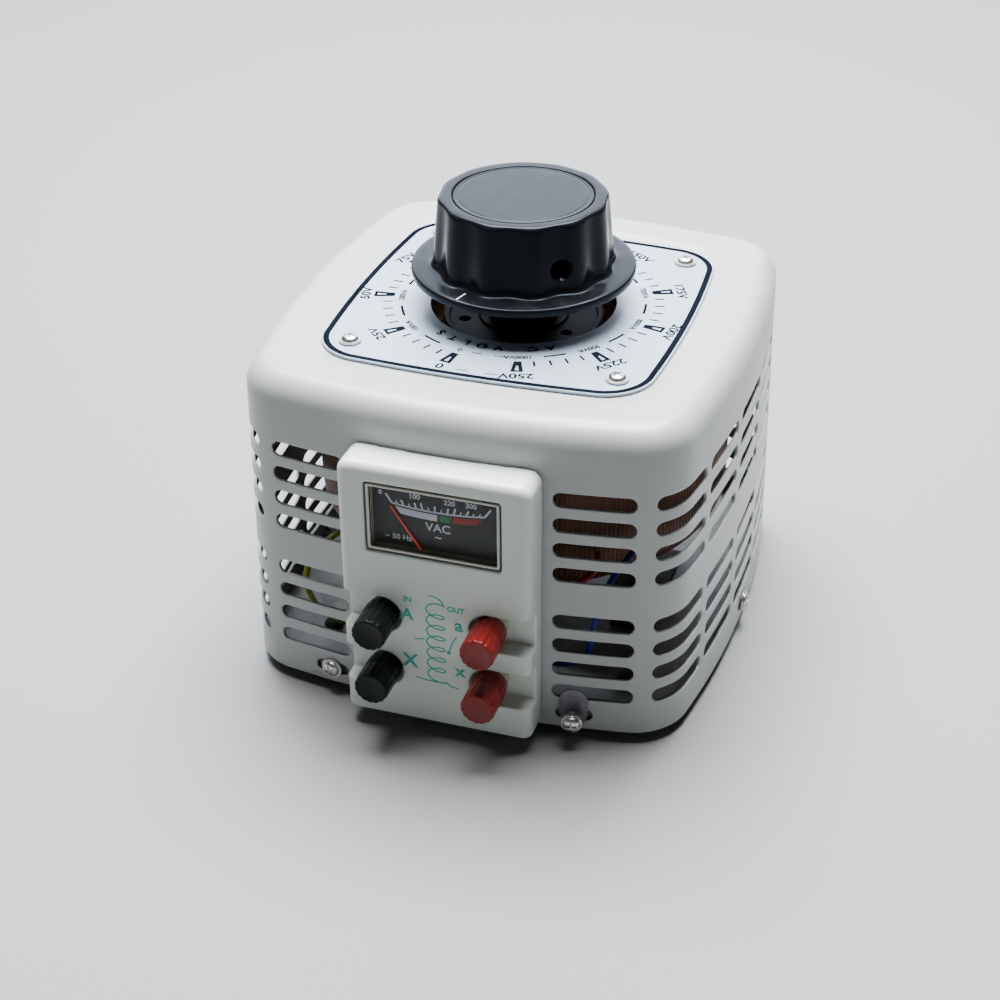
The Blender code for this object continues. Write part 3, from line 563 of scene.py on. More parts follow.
def dial_print():
    """Everything printed on the dial: border, marks, ticks, arcs and figures."""
    low, high = CASE_H + 0.01, CASE_H + 0.01 + INK
    parts = [ring_band(round_square(64.9, 19.4), round_square(62.6, 17.1), low, high)]
    for volts in range(0, FULL_VOLTS + 1, 5):
        angle = dial_angle(volts)
        if volts % 25:
            tick = ribbon([(0, -2.0), (0, 0), (0, 2.0)], 0.85, low, high)
            parts.append((radial(tick[0], angle, 53.45), tick[1]))
            continue
        mark = main_mark(low, high)
        parts.append((radial(mark[0], angle, 55.4), mark[1]))
        name = "%dV" % volts if volts else "0"
        outer = glyphs(name, 5.2, 0.13, CASE_H + 0.01)
        parts.append((radial(outer[0] * [1.22, 1, 1], angle, 62.6), outer[1]))
        load = "%dVA" % (volts * 4) if volts else "0"
        inner = glyphs(load, 3.3, 0.09, CASE_H + 0.01)
        parts.append((radial(inner[0], angle, 48.0), inner[1]))
        if volts < FULL_VOLTS:
            run = np.linspace(dial_angle(volts + 8.6), dial_angle(volts + 16.4), 9)
            parts.append(ribbon(np.stack([np.cos(run), np.sin(run)], -1) * 48.0, 1.0, low, high))
    for i, letter in enumerate("AC VOLTS"):
        if letter != " ":
            angle = math.radians(-90 + 9.0 * (3.5 - i))
            shape = glyphs(letter, 5.0, 0.14, CASE_H + 0.01)
            parts.append((radial(shape[0] * [1.15, 1, 1], angle, 41.6), shape[1]))
    gap = math.radians(ZERO_ANGLE + (360 - SWEEP) / 2)
    for side in (-1, 1):
        run = np.linspace(gap + side * 0.05, gap + side * 0.13, 5)
        parts.append(ribbon(np.stack([np.cos(run), np.sin(run)], -1) * 62.3, 0.5, low, high))
        parts.append(ribbon(np.stack([np.cos(run), np.sin(run)], -1) * 48.0, 0.5, low, high))
    return joined(parts)


dial_paint = finish("dial_aluminium", (0.33, 0.40, 0.49), 0.3, cloud=(0.30, 0.365, 0.455), cloud_scale=9.0,
                    spread=0.1, grain=1500.0, height=0.03, dust=0.06, Coat_Weight=0.3, Coat_Roughness=0.12)
dial_ink = finish("dial_ink", (0.004, 0.005, 0.009), 0.7, cloud=(0.009, 0.011, 0.017), grain=2500.0,
                  height=0.05, dust=0.0, Specular_IOR_Level=0.0)
fit(form("dial_sheet", *dial_sheet()), dial_paint, "dial_aluminium", "housing", "dial_plate")
fit(form("dial_print", *dial_print()), dial_ink, "dial_aluminium", "housing")

# ---------------------------------------------------------------------------------------------------------
# Screws: zinc plated pan heads with a cross recess and a plain washer, at the dial's corners and along the
# case's lower edge. The earth screw is a long one with its own nut, a spring washer and a tag.
# ---------------------------------------------------------------------------------------------------------
def turned(profile, count=48):
    """Surface of revolution about Z of a (radius, height) profile, closed where it ends on the axis."""
    profile = np.asarray(profile, float)
    a = np.linspace(0, 2 * np.pi, count, endpoint=False)
    rows = np.stack([profile[:, :1] * np.cos(a), profile[:, :1] * np.sin(a),
                     np.repeat(profile[:, 1:], count, 1)], -1)
    return rows, quads(len(profile), count, close_cols=True)


def turned_ring(profile, count=48):
    """Surface of revolution of a closed profile that stays off the axis."""
    rows, _ = turned(profile, count)
    return rows, quads(len(profile), count, close_rows=True, close_cols=True)


def box_shape(low, high):
    """A box between two corners."""
    (x0, y0, z0), (x1, y1, z1) = low, high
    points = [(x, y, z) for z in (z0, z1) for x, y in ((x0, y0), (x1, y0), (x1, y1), (x0, y1))]
    faces = [[3, 2, 1, 0], [4, 5, 6, 7]] + [[i, (i + 1) % 4, 4 + (i + 1) % 4, 4 + i] for i in range(4)]
    return np.array(points, float), faces


def carve(obj, *tools):
    """Cut closed shapes out of a piece and keep the result as its mesh; the tools are removed."""
    for tool in tools:
        cutting = obj.modifiers.new("cut", "BOOLEAN")
        cutting.operation = "DIFFERENCE"
        cutting.object = tool
    mesh = bpy.data.meshes.new_from_object(obj.evaluated_get(bpy.context.evaluated_depsgraph_get()))
    mesh.set_sharp_from_angle(angle=math.radians(35))
    obj.modifiers.clear()
    obj.data = mesh
    for tool in tools:
        bpy.data.objects.remove(tool)
    return obj


def read(obj):
    """Points, in millimetres of the model, and faces of a piece; the piece is removed."""
    points = np.array([v.co for v in obj.data.vertices]) - np.array([0, AXIS_Y, CASE_FOOT])
    faces = [list(p.vertices) for p in obj.data.polygons]
    bpy.data.objects.remove(obj)
    return points * 1000, faces


def stand(points, spot, way, spin=0.0):
    """Place a shape drawn about +Z at a spot, facing a way, after a turn about its own axis."""
    turn = Vector(way).to_track_quat("Z", "Y").to_matrix() @ Matrix.Rotation(spin, 3, "Z")
    return np.asarray(points, float).reshape(-1, 3) @ np.array(turn).T + np.array(spot)


def pan_head():
    """Domed head with a cross recess, on a washer whose edge is rounded; z = 0 is the surface it clamps."""
    dome = [(3.3 * math.cos(a), 1.15 + 1.6 * math.sin(a)) for a in np.linspace(0, math.pi / 2, 9)]
    head = form("head", *turned([(0, 0.9), (3.2, 0.9)] + dome, 40))
    arms = [form("arm", *box_shape((-2.1, -0.42, 1.9), (2.1, 0.42, 4))),
            form("arm", *box_shape((-0.42, -2.1, 1.9), (0.42, 2.1, 4)))]
    head = read(carve(head, *arms))
    washer = turned_ring([(1.7, 0.32), (4.25, 0.32), (4.4, 0.45), (4.4, 0.85), (4.25, 1.0), (1.7, 1.0)], 48)
    return head, washer


zinc = finish("zinc_steel", (0.62, 0.62, 0.58), 0.28, 1.0, cloud=(0.5, 0.5, 0.47), cloud_scale=300.0,
              spread=0.16, grain=2200.0, height=0.08, dust=0.05)
dull_zinc = finish("dull_zinc", (0.42, 0.42, 0.41), 0.42, 0.9, cloud=(0.3, 0.3, 0.3), cloud_scale=60.0,
                   spread=0.2, grain=700.0, height=0.1, dust=0.2)
HEAD, WASHER = pan_head()
SHANK = turned([(0, -6), (1.45, -6), (1.45, 1.2), (0, 1.2)], 20)


def screw(name, node, spot, way, spin):
    """One screw with its washer and shank."""
    parts = [(stand(shape[0], spot, way, spin), shape[1]) for shape in (HEAD, WASHER, SHANK)]
    fit(form(name, *joined(parts), sharp=30), zinc, "zinc_steel", "housing", node)


for corner, sx, sy, spin in (("front_left", -1, -1, 0.3), ("front_right", 1, -1, 1.1),
                             ("rear_right", 1, 1, 0.6), ("rear_left", -1, 1, 0.1)):
    screw("dial_screw_fine_" + corner, "dial_screw_" + corner, (sx * 52.5, sy * 52.5, CASE_H),
          (0, 0, 1), spin)

CASE_SCREWS = (("right", QUARTER, 0.2), ("rear_right", 2 * QUARTER - SCREW_ARC, 0.7),
               ("rear_left", 2 * QUARTER + SCREW_ARC, 0.4), ("left", 3 * QUARTER, 0.9),
               ("front_left", 4 * QUARTER - SCREW_ARC, 0.5))


def wall_spot(t, z):
    """Point on the case's wall and the way it faces."""
    spot = plan(t, z)
    step = plan(t, z, 1.0) - spot
    return spot, tuple(step / np.linalg.norm(step))


for corner, arc, spin in CASE_SCREWS:
    spot, way = wall_spot(arc, SCREW_Z)
    screw("case_screw_fine_" + corner, "case_screw_" + corner, spot, way, spin)


def hexagon(radius, low, high, bore):
    """A hexagon nut with chamfered corners, as rings round its bore."""
    a = np.linspace(0, 2 * np.pi, 48, endpoint=False)
    flat = radius * np.cos(np.pi / 6) / np.cos((a + np.pi / 6) % (np.pi / 3) - np.pi / 6)
    cone = np.minimum(flat, radius * 0.93)
    rows = [(np.full(48, bore), low), (cone, low), (flat, low + 0.35), (flat, high - 0.35), (cone, high),
            (np.full(48, bore), high)]
    loops = np.array([np.stack([r * np.cos(a), r * np.sin(a), np.full(48, z)], -1) for r, z in rows])
    return loops, quads(len(rows), 48, close_rows=True, close_cols=True)


def thread(radius, low, high, pitch=0.7, depth=0.3):
    """Rod with ridges at the thread's pitch and a chamfered tip."""
    zs = np.arange(low, high - 0.6, pitch / 4)
    rs = radius - depth * np.abs(((zs - low) / pitch) % 1 - 0.5) * 2
    profile = [(0, low)] + list(zip(rs, zs)) + [(radius - depth - 0.3, high), (0, high)]
    return turned(profile, 24)


spot, way = wall_spot(SCREW_ARC, SCREW_Z)
earth_parts = [thread(1.85, -7.0, 6.5), (HEAD[0] + [0, 0, 5.6], HEAD[1]), hexagon(3.7, 1.6, 4.0, 1.7),
               turned_ring([(1.9, 4.2), (3.5, 4.2), (3.75, 4.5), (3.5, 4.8), (1.9, 4.8)], 32),
               turned_ring([(1.9, 5.1), (3.9, 5.1), (4.2, 5.4), (4.2, 6.0), (3.9, 6.3), (1.9, 6.3)], 40)]
earth_parts = [(stand(points, spot, way), faces) for points, faces in earth_parts]
fit(form("earth_screw_fine", *joined(earth_parts), sharp=30), zinc, "zinc_steel", "housing", "earth_screw")


def tag_plate():
    """Earth tag: a flat lug with a round head, bored for the screw, with ribs pressed across it."""
    a = np.linspace(0, 2 * np.pi, 64, endpoint=False)
    outline = np.stack([5.4 * np.cos(a), 4.0 + 3.0 * np.sign(np.sin(a)) + 5.4 * np.sin(a)], -1)
    bore = np.stack([2.2 * np.cos(a), 2.2 * np.sin(a)], -1)
    loops = np.array([level(bore, 0.5), level(outline, 0.5), level(outline, 1.4), level(outline * 0.97, 1.5),
                      level(bore, 1.5)])
    ribs = [ribbon([(-2.6, y), (0, y + 0.2), (2.6, y)], 0.7, 1.45, 1.62) for y in (5.4, 7.2, 9.0)]
    return joined([(loops, quads(len(loops), 64, close_rows=True, close_cols=True))] + ribs)


tag_steel = finish("tag_steel", (0.16, 0.15, 0.18), 0.4, 0.6, cloud=(0.10, 0.09, 0.12), cloud_scale=250.0,
                   spread=0.2, grain=1200.0, height=0.1)
points, faces = tag_plate()
fit(form("earth_tag_fine", stand(points, spot, way), faces), tag_steel, "zinc_steel", "housing", "earth_tag")

# ---------------------------------------------------------------------------------------------------------
# Knob: moulded black phenolic with twelve finger hollows over a broad skirt, pinned to the shaft by a set
# screw. A disc closes its top and a pale line on the skirt points at the scale.
# ---------------------------------------------------------------------------------------------------------
SKIRT_R, SKIRT_LOW, SKIRT_HIGH = 43.8, 143.7, 147.2
KNOB_TOP = 175.2
CAP_R = 27.2
FLUTES = 12
FLUTE_ANGLE = math.radians(-51.0)
SET_ANGLE, SET_Z = math.radians(-48.0), 157.5
POINTER_ANGLE = math.radians(-109.0)


def knob_body():
    """Knob as loops from its boss out under the skirt, up the fluted wall, over the rim and into the cap's
    seat: radius = wall - depth x (half of 1 + cos(12 (angle - that of the set screw)))."""
    a = np.linspace(0, 2 * np.pi, 360, endpoint=False)
    hollow = (0.5 + 0.5 * np.cos((a - FLUTE_ANGLE) * FLUTES)) ** 1.15
    rows = [(5.4, 125.6, 0), (13.6, 125.6, 0), (14.0, 126.0, 0), (14.0, 143.3, 0), (14.4, SKIRT_LOW, 0),
            (42.9, SKIRT_LOW, 0), (43.6, 144.0, 0), (SKIRT_R, 144.6, 0), (SKIRT_R, 146.2, 0),
            (43.6, 146.8, 0), (43.1, 147.1, 0), (41.5, SKIRT_HIGH, 0), (38.0, 147.35, 0), (36.4, 147.6, 0.8),
            (35.7, 148.2, 1.35), (35.4, 149.2, 1.65)]
    rows += [(35.3 - 2.1 * k, 150 + 22.4 * k, 1.75 - 0.7 * k) for k in np.linspace(0, 1, 14)]
    rows += [(33.1, 173.2, 0.95), (32.9, 174.1, 0.75), (32.4, 174.8, 0.45), (31.6, 175.12, 0.2),
             (30.5, KNOB_TOP, 0), (30.1, KNOB_TOP, 0), (28.6, KNOB_TOP, 0), (28.2, KNOB_TOP, 0),
              (27.75, 175.05, 0), (27.55, 174.7, 0),
             (27.5, 173.4, 0), (5.4, 173.4, 0)]
    loops = []
    for radius, z, depth in rows:
        r = radius - depth * hollow
        loops.append(np.stack([r * np.cos(a), r * np.sin(a), np.full(len(a), z)], -1))
    return np.array(loops), quads(len(rows), len(a), close_rows=True, close_cols=True)


# Specular tint paints a bluish colour into the knob's sheen.
phenolic = finish("black_phenolic", (0.005, 0.0055, 0.007), 0.2, cloud=(0.009, 0.010, 0.013),
                  cloud_scale=25.0,
                  spread=0.08, grain=1100.0, height=0.04, dust=0.02, Specular_IOR_Level=0.1,
                  Specular_Tint=(0.66, 0.78, 1.0, 1))
dull_phenolic = finish("dull_phenolic", (0.008, 0.008, 0.009), 0.5, cloud=(0.02, 0.019, 0.019),
                       cloud_scale=60.0,
                       grain=900.0, height=0.1, dust=0.06, Specular_IOR_Level=0.06)
knob_piece = form("knob_body", *knob_body(), sharp=60)
set_way = (math.cos(SET_ANGLE), math.sin(SET_ANGLE), 0)
bore_tool = turned([(0, 12), (3.5, 12), (3.5, 32.0), (3.8, 32.7), (4.4, 33.3), (4.9, 34.5), (4.9, 42),
                    (0, 42)],
                   48)
knob_piece = carve(knob_piece, form("bore", stand(bore_tool[0], (0, 0, SET_Z), set_way), bore_tool[1]))
knob_piece.data.set_sharp_from_angle(angle=math.radians(50))
fit(knob_piece, phenolic, "black_bakelite", "rotor", "knob")

disc = [(0, 173.7), (27.0, 173.7), (CAP_R, 173.9), (CAP_R, 174.6), (26.9, 174.95), (26.0, 175.0), (25.7,
                                                                                                   174.85),
        (25.3, 174.85), (25.0, 175.0), (24.6, 175.0), (12.0, 175.0), (0, 175.0)]
fit(form("knob_cap_disc", *turned(disc, 160)), phenolic, "black_bakelite", "rotor", "knob_cap")

grub = form("grub", *turned([(0, 6), (2.0, 6), (2.1, 6.2), (2.1, 17.6), (1.8, 18), (0, 18)], 32))
grub = read(carve(grub, form("slit", *box_shape((-3, -0.3, 16.8), (3, 0.3, 19)))))
fit(form("set_screw_fine", stand(grub[0], (0, 0, SET_Z), set_way), grub[1]), dull_zinc, "zinc_steel",
    "rotor",
    "knob_set_screw")

pointer_paint = finish("pointer_paint", (0.62, 0.64, 0.68), 0.45, cloud=(0.4, 0.42, 0.46), cloud_scale=400.0,
                       grain=2000.0)
radii = np.linspace(36.9, 42.4, 8)
heights = np.interp(radii, [36.4, 38.0, 41.5, 43.1], [147.6, 147.35, 147.2, 147.1])
line = np.array([[(side * 0.28, r, h + lift) for side, lift in ((-1, -0.1), (1, -0.1), (1, 0.05), (-1,
                                                                                                   0.05))]
                 for r, h in zip(radii, heights)])
line_faces = quads(8, 4, close_cols=True).tolist() + [[0, 1, 2, 3], [28, 29, 30, 31]]
fit(form("knob_pointer", radial(line, POINTER_ANGLE, 0), line_faces), pointer_paint, "black_bakelite",
    "rotor")

# ---------------------------------------------------------------------------------------------------------
# Front panel: a milky white moulding with a soft front edge, hooked over the case's front. It frames the
# meter, and four scoops open to its sides give the binding posts their seats.
# ---------------------------------------------------------------------------------------------------------
PANEL_HALF, PANEL_LOW, PANEL_HIGH, PANEL_FRONT = 37.0, 2.0, 112.7, -110.0
PANEL_SOFT = 3.6
WINDOW_HALF, WINDOW_LOW, WINDOW_HIGH = 26.3, 76.3, 105.6
POST_X, POST_HIGH, POST_LOW, SEAT_Y = 21.0, 48.5, 24.0, -102.0
SCOOP = 7.8
POSTS = (("in_upper", -POST_X, POST_HIGH), ("in_lower", -POST_X, POST_LOW),
         ("out_upper", POST_X, POST_HIGH), ("out_lower", POST_X, POST_LOW))


def panel_outline(inset):
    """Front view of the panel: a tall rectangle with rounder corners at the top than at the bottom."""
    points = []
    low, high, half = PANEL_LOW + inset * 0.3, PANEL_HIGH - inset, PANEL_HALF - inset
    for x, z, radius, start in ((half, high, 5.0 - inset, 0), (-half, high, 5.0 - inset, 90),
                                (-half, low, 1.6, 180), (half, low, 1.6, 270)):
        a = np.radians(np.linspace(start, start + 90, 9))
        radius = max(radius, 1.2)
        points.append(np.stack([x - np.sign(x) * radius + radius * np.cos(a),
                                z - (radius if start < 180 else -radius) + radius * np.sin(a)], -1))
    return np.concatenate(points)


def upright(outline, y):
    """A front-view outline of (x, z) points set at a depth."""
    outline = np.asarray(outline, float)
    return np.stack([outline[:, 0], np.full(len(outline), y), outline[:, 1]], -1)


def bar(outline, near, far):
    """A front-view outline pushed through from one depth to another, closed at both ends."""
    count = len(outline)
    points = np.concatenate([upright(outline, near), upright(outline, far)])
    caps = [list(range(count)), list(range(count, 2 * count))]
    return points, quads(2, count, close_cols=True).tolist() + caps


def rounded_box_outline(half, low, high, radius):
    """Front view of a window with round corners."""
    points = []
    for x, z, start in ((half, high, 0), (-half, high, 90), (-half, low, 180), (half, low, 270)):
        a = np.radians(np.linspace(start, start + 90, 6))
        points.append(np.stack([x - math.copysign(radius, x) + radius * np.cos(a),
                                z + (radius if start >= 180 else -radius) + radius * np.sin(a)], -1))
    return np.concatenate(points)


def panel_blank():
    """The panel before its openings: outlines stacked from back to front, drawn in over the front edge."""
    bends = np.radians(np.linspace(0, 90, 9))
    depths = [(-84.0, 0.0)] + [(PANEL_FRONT + PANEL_SOFT * (1 - math.sin(a)), PANEL_SOFT * (1 - math.cos(a)))
                               for a in bends]
    loops = np.array([upright(panel_outline(inset), y) for y, inset in depths])
    rows, count = loops.shape[:2]
    faces = quads(rows, count, close_cols=True).tolist()
    return loops, faces + [list(range(count)), list(range((rows - 1) * count, rows * count))]


def scoop_outline(x, z):
    """Front view of a scoop: a half circle round the post, open to the near side of the panel."""
    side = math.copysign(1, x)
    a = np.linspace(math.pi / 2, 3 * math.pi / 2, 25)
    bow = np.stack([x + side * SCOOP * np.cos(a), z + SCOOP * np.sin(a)], -1)
    return np.concatenate([bow, [(side * 45, z - SCOOP), (side * 45, z + SCOOP)]])


def front_panel():
    """The moulding: blank less the case's bow, the hollow behind, the window, the scoops and the stud holes,
    then remeshed evenly and relaxed so that every edge is softly moulded."""
    obj = form("front_panel_fine", *panel_blank())
    around = np.linspace(-60, 60, 41)
    bow = plan(around, -5.0, 0.35)
    bow_top = plan(around, 125.0, 0.35)
    back = np.array([(60, 0), (-60, 0)])
    low_loop = np.concatenate([bow, level(back, -5.0)])
    high_loop = np.concatenate([bow_top, level(back, 125.0)])
    count = len(low_loop)
    clearance = (np.concatenate([low_loop, high_loop]), quads(2, count, close_cols=True).tolist()
                 + [list(range(count)), list(range(count, 2 * count))])
    tools = [form("tool", *clearance),
             form("tool", *box_shape((-34, PANEL_FRONT + 2.7, 59), (34, -80, 109.2))),
             form("tool", *bar(rounded_box_outline(WINDOW_HALF, WINDOW_LOW, WINDOW_HIGH, 1.0), -115, -90))]
    for _, x, z in POSTS:
        tools.append(form("tool", *bar(scoop_outline(x, z), -114, SEAT_Y)))
        a = np.linspace(0, 2 * np.pi, 24, endpoint=False)
        stud_hole = np.stack([x + 2.4 * np.cos(a), z + 2.4 * np.sin(a)], -1)
        tools.append(form("tool", *bar(stud_hole, SEAT_Y - 4, -70)))
    carve(obj, *tools)
    remesh = obj.modifiers.new("even", "REMESH")
    remesh.mode = "VOXEL"
    remesh.voxel_size = 0.00055
    relax = obj.modifiers.new("relax", "SMOOTH")
    relax.factor = 0.5
    relax.iterations = 5
    mesh = bpy.data.meshes.new_from_object(obj.evaluated_get(bpy.context.evaluated_depsgraph_get()))
    obj.modifiers.clear()
    obj.data = mesh
    mesh.shade_smooth()
    return obj


milky = finish("white_plastic", (0.58, 0.635, 0.575), 0.34, cloud=(0.555, 0.61, 0.55), cloud_scale=18.0,
               spread=0.1, grain=800.0, height=0.05, dust=0.06, Subsurface_Weight=0.25,
               Subsurface_Scale=0.004, Coat_Weight=0.15, Coat_Roughness=0.2)
fit(front_panel(), milky, "white_plastic", "housing", "front_panel")

# ---------------------------------------------------------------------------------------------------------
# Panel print: the transformer's diagram in green ink between the posts: a coil with four terminal letters
# and a tapping arrow.
# ---------------------------------------------------------------------------------------------------------
def on_panel(shape, x, z):
    """Turn flat artwork upright on the panel's face, reading from the front."""
    points, faces = shape
    points = np.asarray(points, float).reshape(-1, 3)
    return np.stack([points[:, 0] + x, PANEL_FRONT - points[:, 2], points[:, 1] + z], -1), faces


def coil_line():
    """The coil: a row of slanted loops, one after another down the panel."""
    t = np.linspace(0, 7 * 2 * np.pi, 7 * 28)
    x = 0.3 + 3.6 * np.cos(t) - 0.5 * np.sin(t)
    z = 57.0 - t * 0.78 + 1.9 * np.sin(t)
    return np.stack([x, z], -1)


def panel_print():
    """All the green lines and letters, as thin raised ink."""
    width, low, high = 0.55, 0.0, 0.06
    lines = [coil_line(), [(-2.0, 61.0), (0.5, 60.8), (2.8, 59.4), (3.9, 57.0)],
             [(-8.0, 22.6), (-4.0, 22.0), (3.6, 21.9)], [(3.9, 22.6), (6.0, 20.9), (9.0, 20.5)],
             [(8.6, 44.5), (6.8, 41.5), (5.6, 37.6)],
             [(-4.2, 41.0), (-6.0, 40.6), (-8.2, 40.4)]]
    parts = [on_panel(ribbon(line, width, low, high), 0, 0) for line in lines]
    dot = turned([(0, low), (0.85, low), (0.85, high), (0, high)], 20)
    parts.append(on_panel(dot, 5.3, 36.6))
    for text, size, x, z in (("A", 6.6, -10.8, 50.8), ("X", 8.2, -10.2, 29.6), ("a", 7.6, 9.4, 49.6),
                             ("x", 7.2, 9.6, 28.8), ("IN", 3.2, -10.6, 57.6), ("OUT", 3.2, 8.4, 56.4)):
        parts.append(on_panel(glyphs(text, size, 0.2 if size > 4 else 0.1, low, high - low), x, z))
    return joined(parts)


green_ink = finish("green_ink", (0.005, 0.34, 0.24), 0.5, cloud=(0.04, 0.42, 0.31), cloud_scale=600.0,
                   grain=2500.0)
fit(form("panel_print", *panel_print()), green_ink, "white_plastic", "housing")

# ---------------------------------------------------------------------------------------------------------
# Voltmeter: a black case behind the panel, a dial with a white scale and coloured bands, a red needle on a
# pivot below the window, and a clear cover whose edge shows as a cream frame.
# ---------------------------------------------------------------------------------------------------------
NEEDLE_Z, NEEDLE_LEAN, NEEDLE_LONG = 69.0, math.radians(34.0), 31.0
FACE_Y = -104.9


def on_face(shape, x=0.0, z=0.0):
    """Turn flat artwork upright on the meter's dial."""
    points, faces = shape
    points = np.asarray(points, float).reshape(-1, 3)
    return np.stack([points[:, 0] + x, FACE_Y - 0.01 - points[:, 2], points[:, 1] + z], -1), faces


def scale_line(x):
    """Height of the meter's base line: nearly level, its ends a little higher."""
    return 94.3 + 1.4 * (np.asarray(x) / 18.0) ** 2


def meter_scale():
    """White ink: base line, ticks that fan out from the pivot, figures and symbols."""
    low, high = 0.0, 0.05
    xs = np.linspace(-17.0, 18.5, 31)
    parts = [on_face(ribbon(np.stack([xs, scale_line(xs)], -1), 0.7, low, high))]
    for i in range(16):
        x = -17.0 + 35.5 * i / 15
        z = float(scale_line(x))
        lean = np.array([x, z - NEEDLE_Z]) / math.hypot(x, z - NEEDLE_Z)
        long = 4.2 if i in (0, 15) else 3.0 if i % 5 == 0 else 2.6 if i in (2, 4, 7, 9, 12) else 1.7
        tick = [np.array([x, z]) + lean * k * long for k in (0, 0.5, 1)]
        parts.append(on_face(ribbon(tick, 0.75 if long > 2.5 else 0.5, low, high)))
    for text, size, x, z in (("0", 2.6, -21.4, 99.3), ("100", 3.0, -8.2, 99.6), ("220", 2.9, 5.2, 99.2),
                             ("300", 2.9, 13.4, 99.4), ("VAC", 4.9, 0.6, 87.6), ("~", 4.6, 0.6, 83.8),
                             ("~ 50 Hz", 3.2, -14.9, 81.2)):
        parts.append(on_face(glyphs(text, size, 0.05, low, high - low), x, z))
    return joined(parts)


def meter_band(x0, x1, slant0, slant1):
    """Coloured band under the base line, its ends cut along the scale's fan."""
    top = np.linspace(x0, x1, 9)
    low = np.linspace(x0 + slant0, x1 + slant1, 9)
    outer = np.concatenate([np.stack([top, scale_line(top) - 0.95], -1),
                            np.stack([low, scale_line(low) - 3.6], -1)[::-1]])
    count = len(outer)
    points = np.concatenate([level(outer, 0.0), level(outer, 0.05)])
    return on_face((points, quads(2, count, close_cols=True).tolist()
                    + [list(range(count)), list(range(count, 2 * count))]))


ink_white = finish("meter_white", (0.66, 0.66, 0.80), 0.5, cloud=(0.5, 0.5, 0.62), cloud_scale=500.0,
                   grain=2500.0)
ink_green = finish("meter_green", (0.02, 0.17, 0.07), 0.5, cloud=(0.03, 0.2, 0.1), cloud_scale=500.0,
                   grain=2500.0)
ink_red = finish("meter_red", (0.36, 0.03, 0.03), 0.5, cloud=(0.3, 0.03, 0.03), cloud_scale=500.0,
                 grain=2500.0)
face_black = finish("meter_black", (0.020, 0.021, 0.025), 0.55, cloud=(0.028, 0.029, 0.034),
                    cloud_scale=120.0,
                    grain=1800.0, height=0.05, dust=0.0)
# Needle: red paint with a weak emission, a painted glow on a part that is no lamp.
needle_red = finish("needle_red", (0.78, 0.04, 0.02), 0.4, cloud=(0.6, 0.03, 0.02), cloud_scale=300.0,
                    Emission_Color=(0.9, 0.05, 0.02, 1), Emission_Strength=0.15)
fit(form("meter_scale", *meter_scale()), ink_white, "meter_black", "housing")
fit(form("meter_band_white", *meter_band(-15.8, 0.4, 2.0, -0.1)), ink_white, "meter_black", "housing")
fit(form("meter_band_green", *meter_band(1.4, 5.9, -0.1, -0.4)), ink_green, "meter_black", "housing")
fit(form("meter_band_red", *meter_band(6.5, 17.6, -0.4, -2.4)), ink_red, "meter_black", "housing")
for node in ("meter_case", "meter_dial"):
    frame["nodes"][node].data.materials.clear()
    frame["nodes"][node].data.materials.append(face_black)


def needle():
    """A hub with a long tapering blade and a short tail, one flat piece."""
    a = np.linspace(-0.5 * math.pi + 0.9, 1.5 * math.pi - 0.9, 30)
    tail = [(-0.9, -4.5), (0.9, -4.5)]
    hub = np.stack([2.1 * np.cos(a), 2.1 * np.sin(a)], -1)
    keep = hub[(hub[:, 1] < 1.7) | (np.abs(hub[:, 0]) > 1.1)]
    right, left = keep[keep[:, 0] > 0], keep[keep[:, 0] <= 0]
    blade = [(0.42, 3.0), (0.18, NEEDLE_LONG), (-0.18, NEEDLE_LONG), (-0.42, 3.0)]
    outline = np.concatenate([right, blade, left, tail])
    c, s = math.cos(NEEDLE_LEAN), math.sin(NEEDLE_LEAN)
    turned_line = np.stack([outline[:, 0] * c - outline[:, 1] * s, outline[:, 0] * s + outline[:,
                                                                                               1] * c], -1)
    return bar(turned_line + [0, NEEDLE_Z], -106.0, -105.6)


fit(form("needle_fine", *needle()), needle_red, "needle_red", "needle", "meter_needle")

clear = finish("clear_acrylic", (0.95, 0.96, 0.93), 0.06, cloud=(0.93, 0.94, 0.9), spread=0.02, height=0.0,
               dust=0.0, Transmission_Weight=1.0, IOR=1.1)
cream = finish("cream_rim", (0.50, 0.49, 0.40), 0.22, cloud=(0.38, 0.37, 0.30), cloud_scale=60.0, spread=0.1,
               grain=900.0, dust=0.0, Coat_Weight=0.5)


def frame_ring(half, low, high, width, near, far, soft=0.25):
    """A rectangular frame with rounded corners and softened front edges."""
    rows = [(0, far), (0, near + soft), (soft, near), (width - soft, near), (width, near + soft),
            (width, far)]
    loops = np.array([upright(rounded_box_outline(half - d, low + d, high - d, max(1.0 - d * 0.5, 0.4)), y)
                      for d, y in rows])
    return loops, quads(len(rows), loops.shape[1], close_rows=True, close_cols=True)


fit(form("meter_rim", *frame_ring(25.5, 77.1, 104.8, 1.1, -109.5, -107.35)), cream, "clear_acrylic",
    "housing")
fit(form("meter_gasket", *frame_ring(26.15, 76.45, 105.45, 0.65, -109.0, -107.35, 0.1)), face_black,
    "clear_acrylic", "housing")
pane = bar(rounded_box_outline(24.4, 78.2, 103.7, 0.4), -108.6, -107.6)
fit(form("meter_pane", *pane), clear, "clear_acrylic", "housing", "meter_window")
fit(form("meter_inner_rim", *frame_ring(24.9, 77.3, 104.6, 0.5, -107.2, -105.0, 0.1)), cream,
    "clear_acrylic",
    "housing")

# ---------------------------------------------------------------------------------------------------------
# Binding posts: nickel plated studs with a seat, a captive washer and a moulded cap with finger flutes;
# black caps for the input side, red ones for the output side.
# ---------------------------------------------------------------------------------------------------------
CAP_SOLID, CAP_REAR, CAP_FRONT = 6.7, 4.6, 22.5
CAP_FLUTES = 15


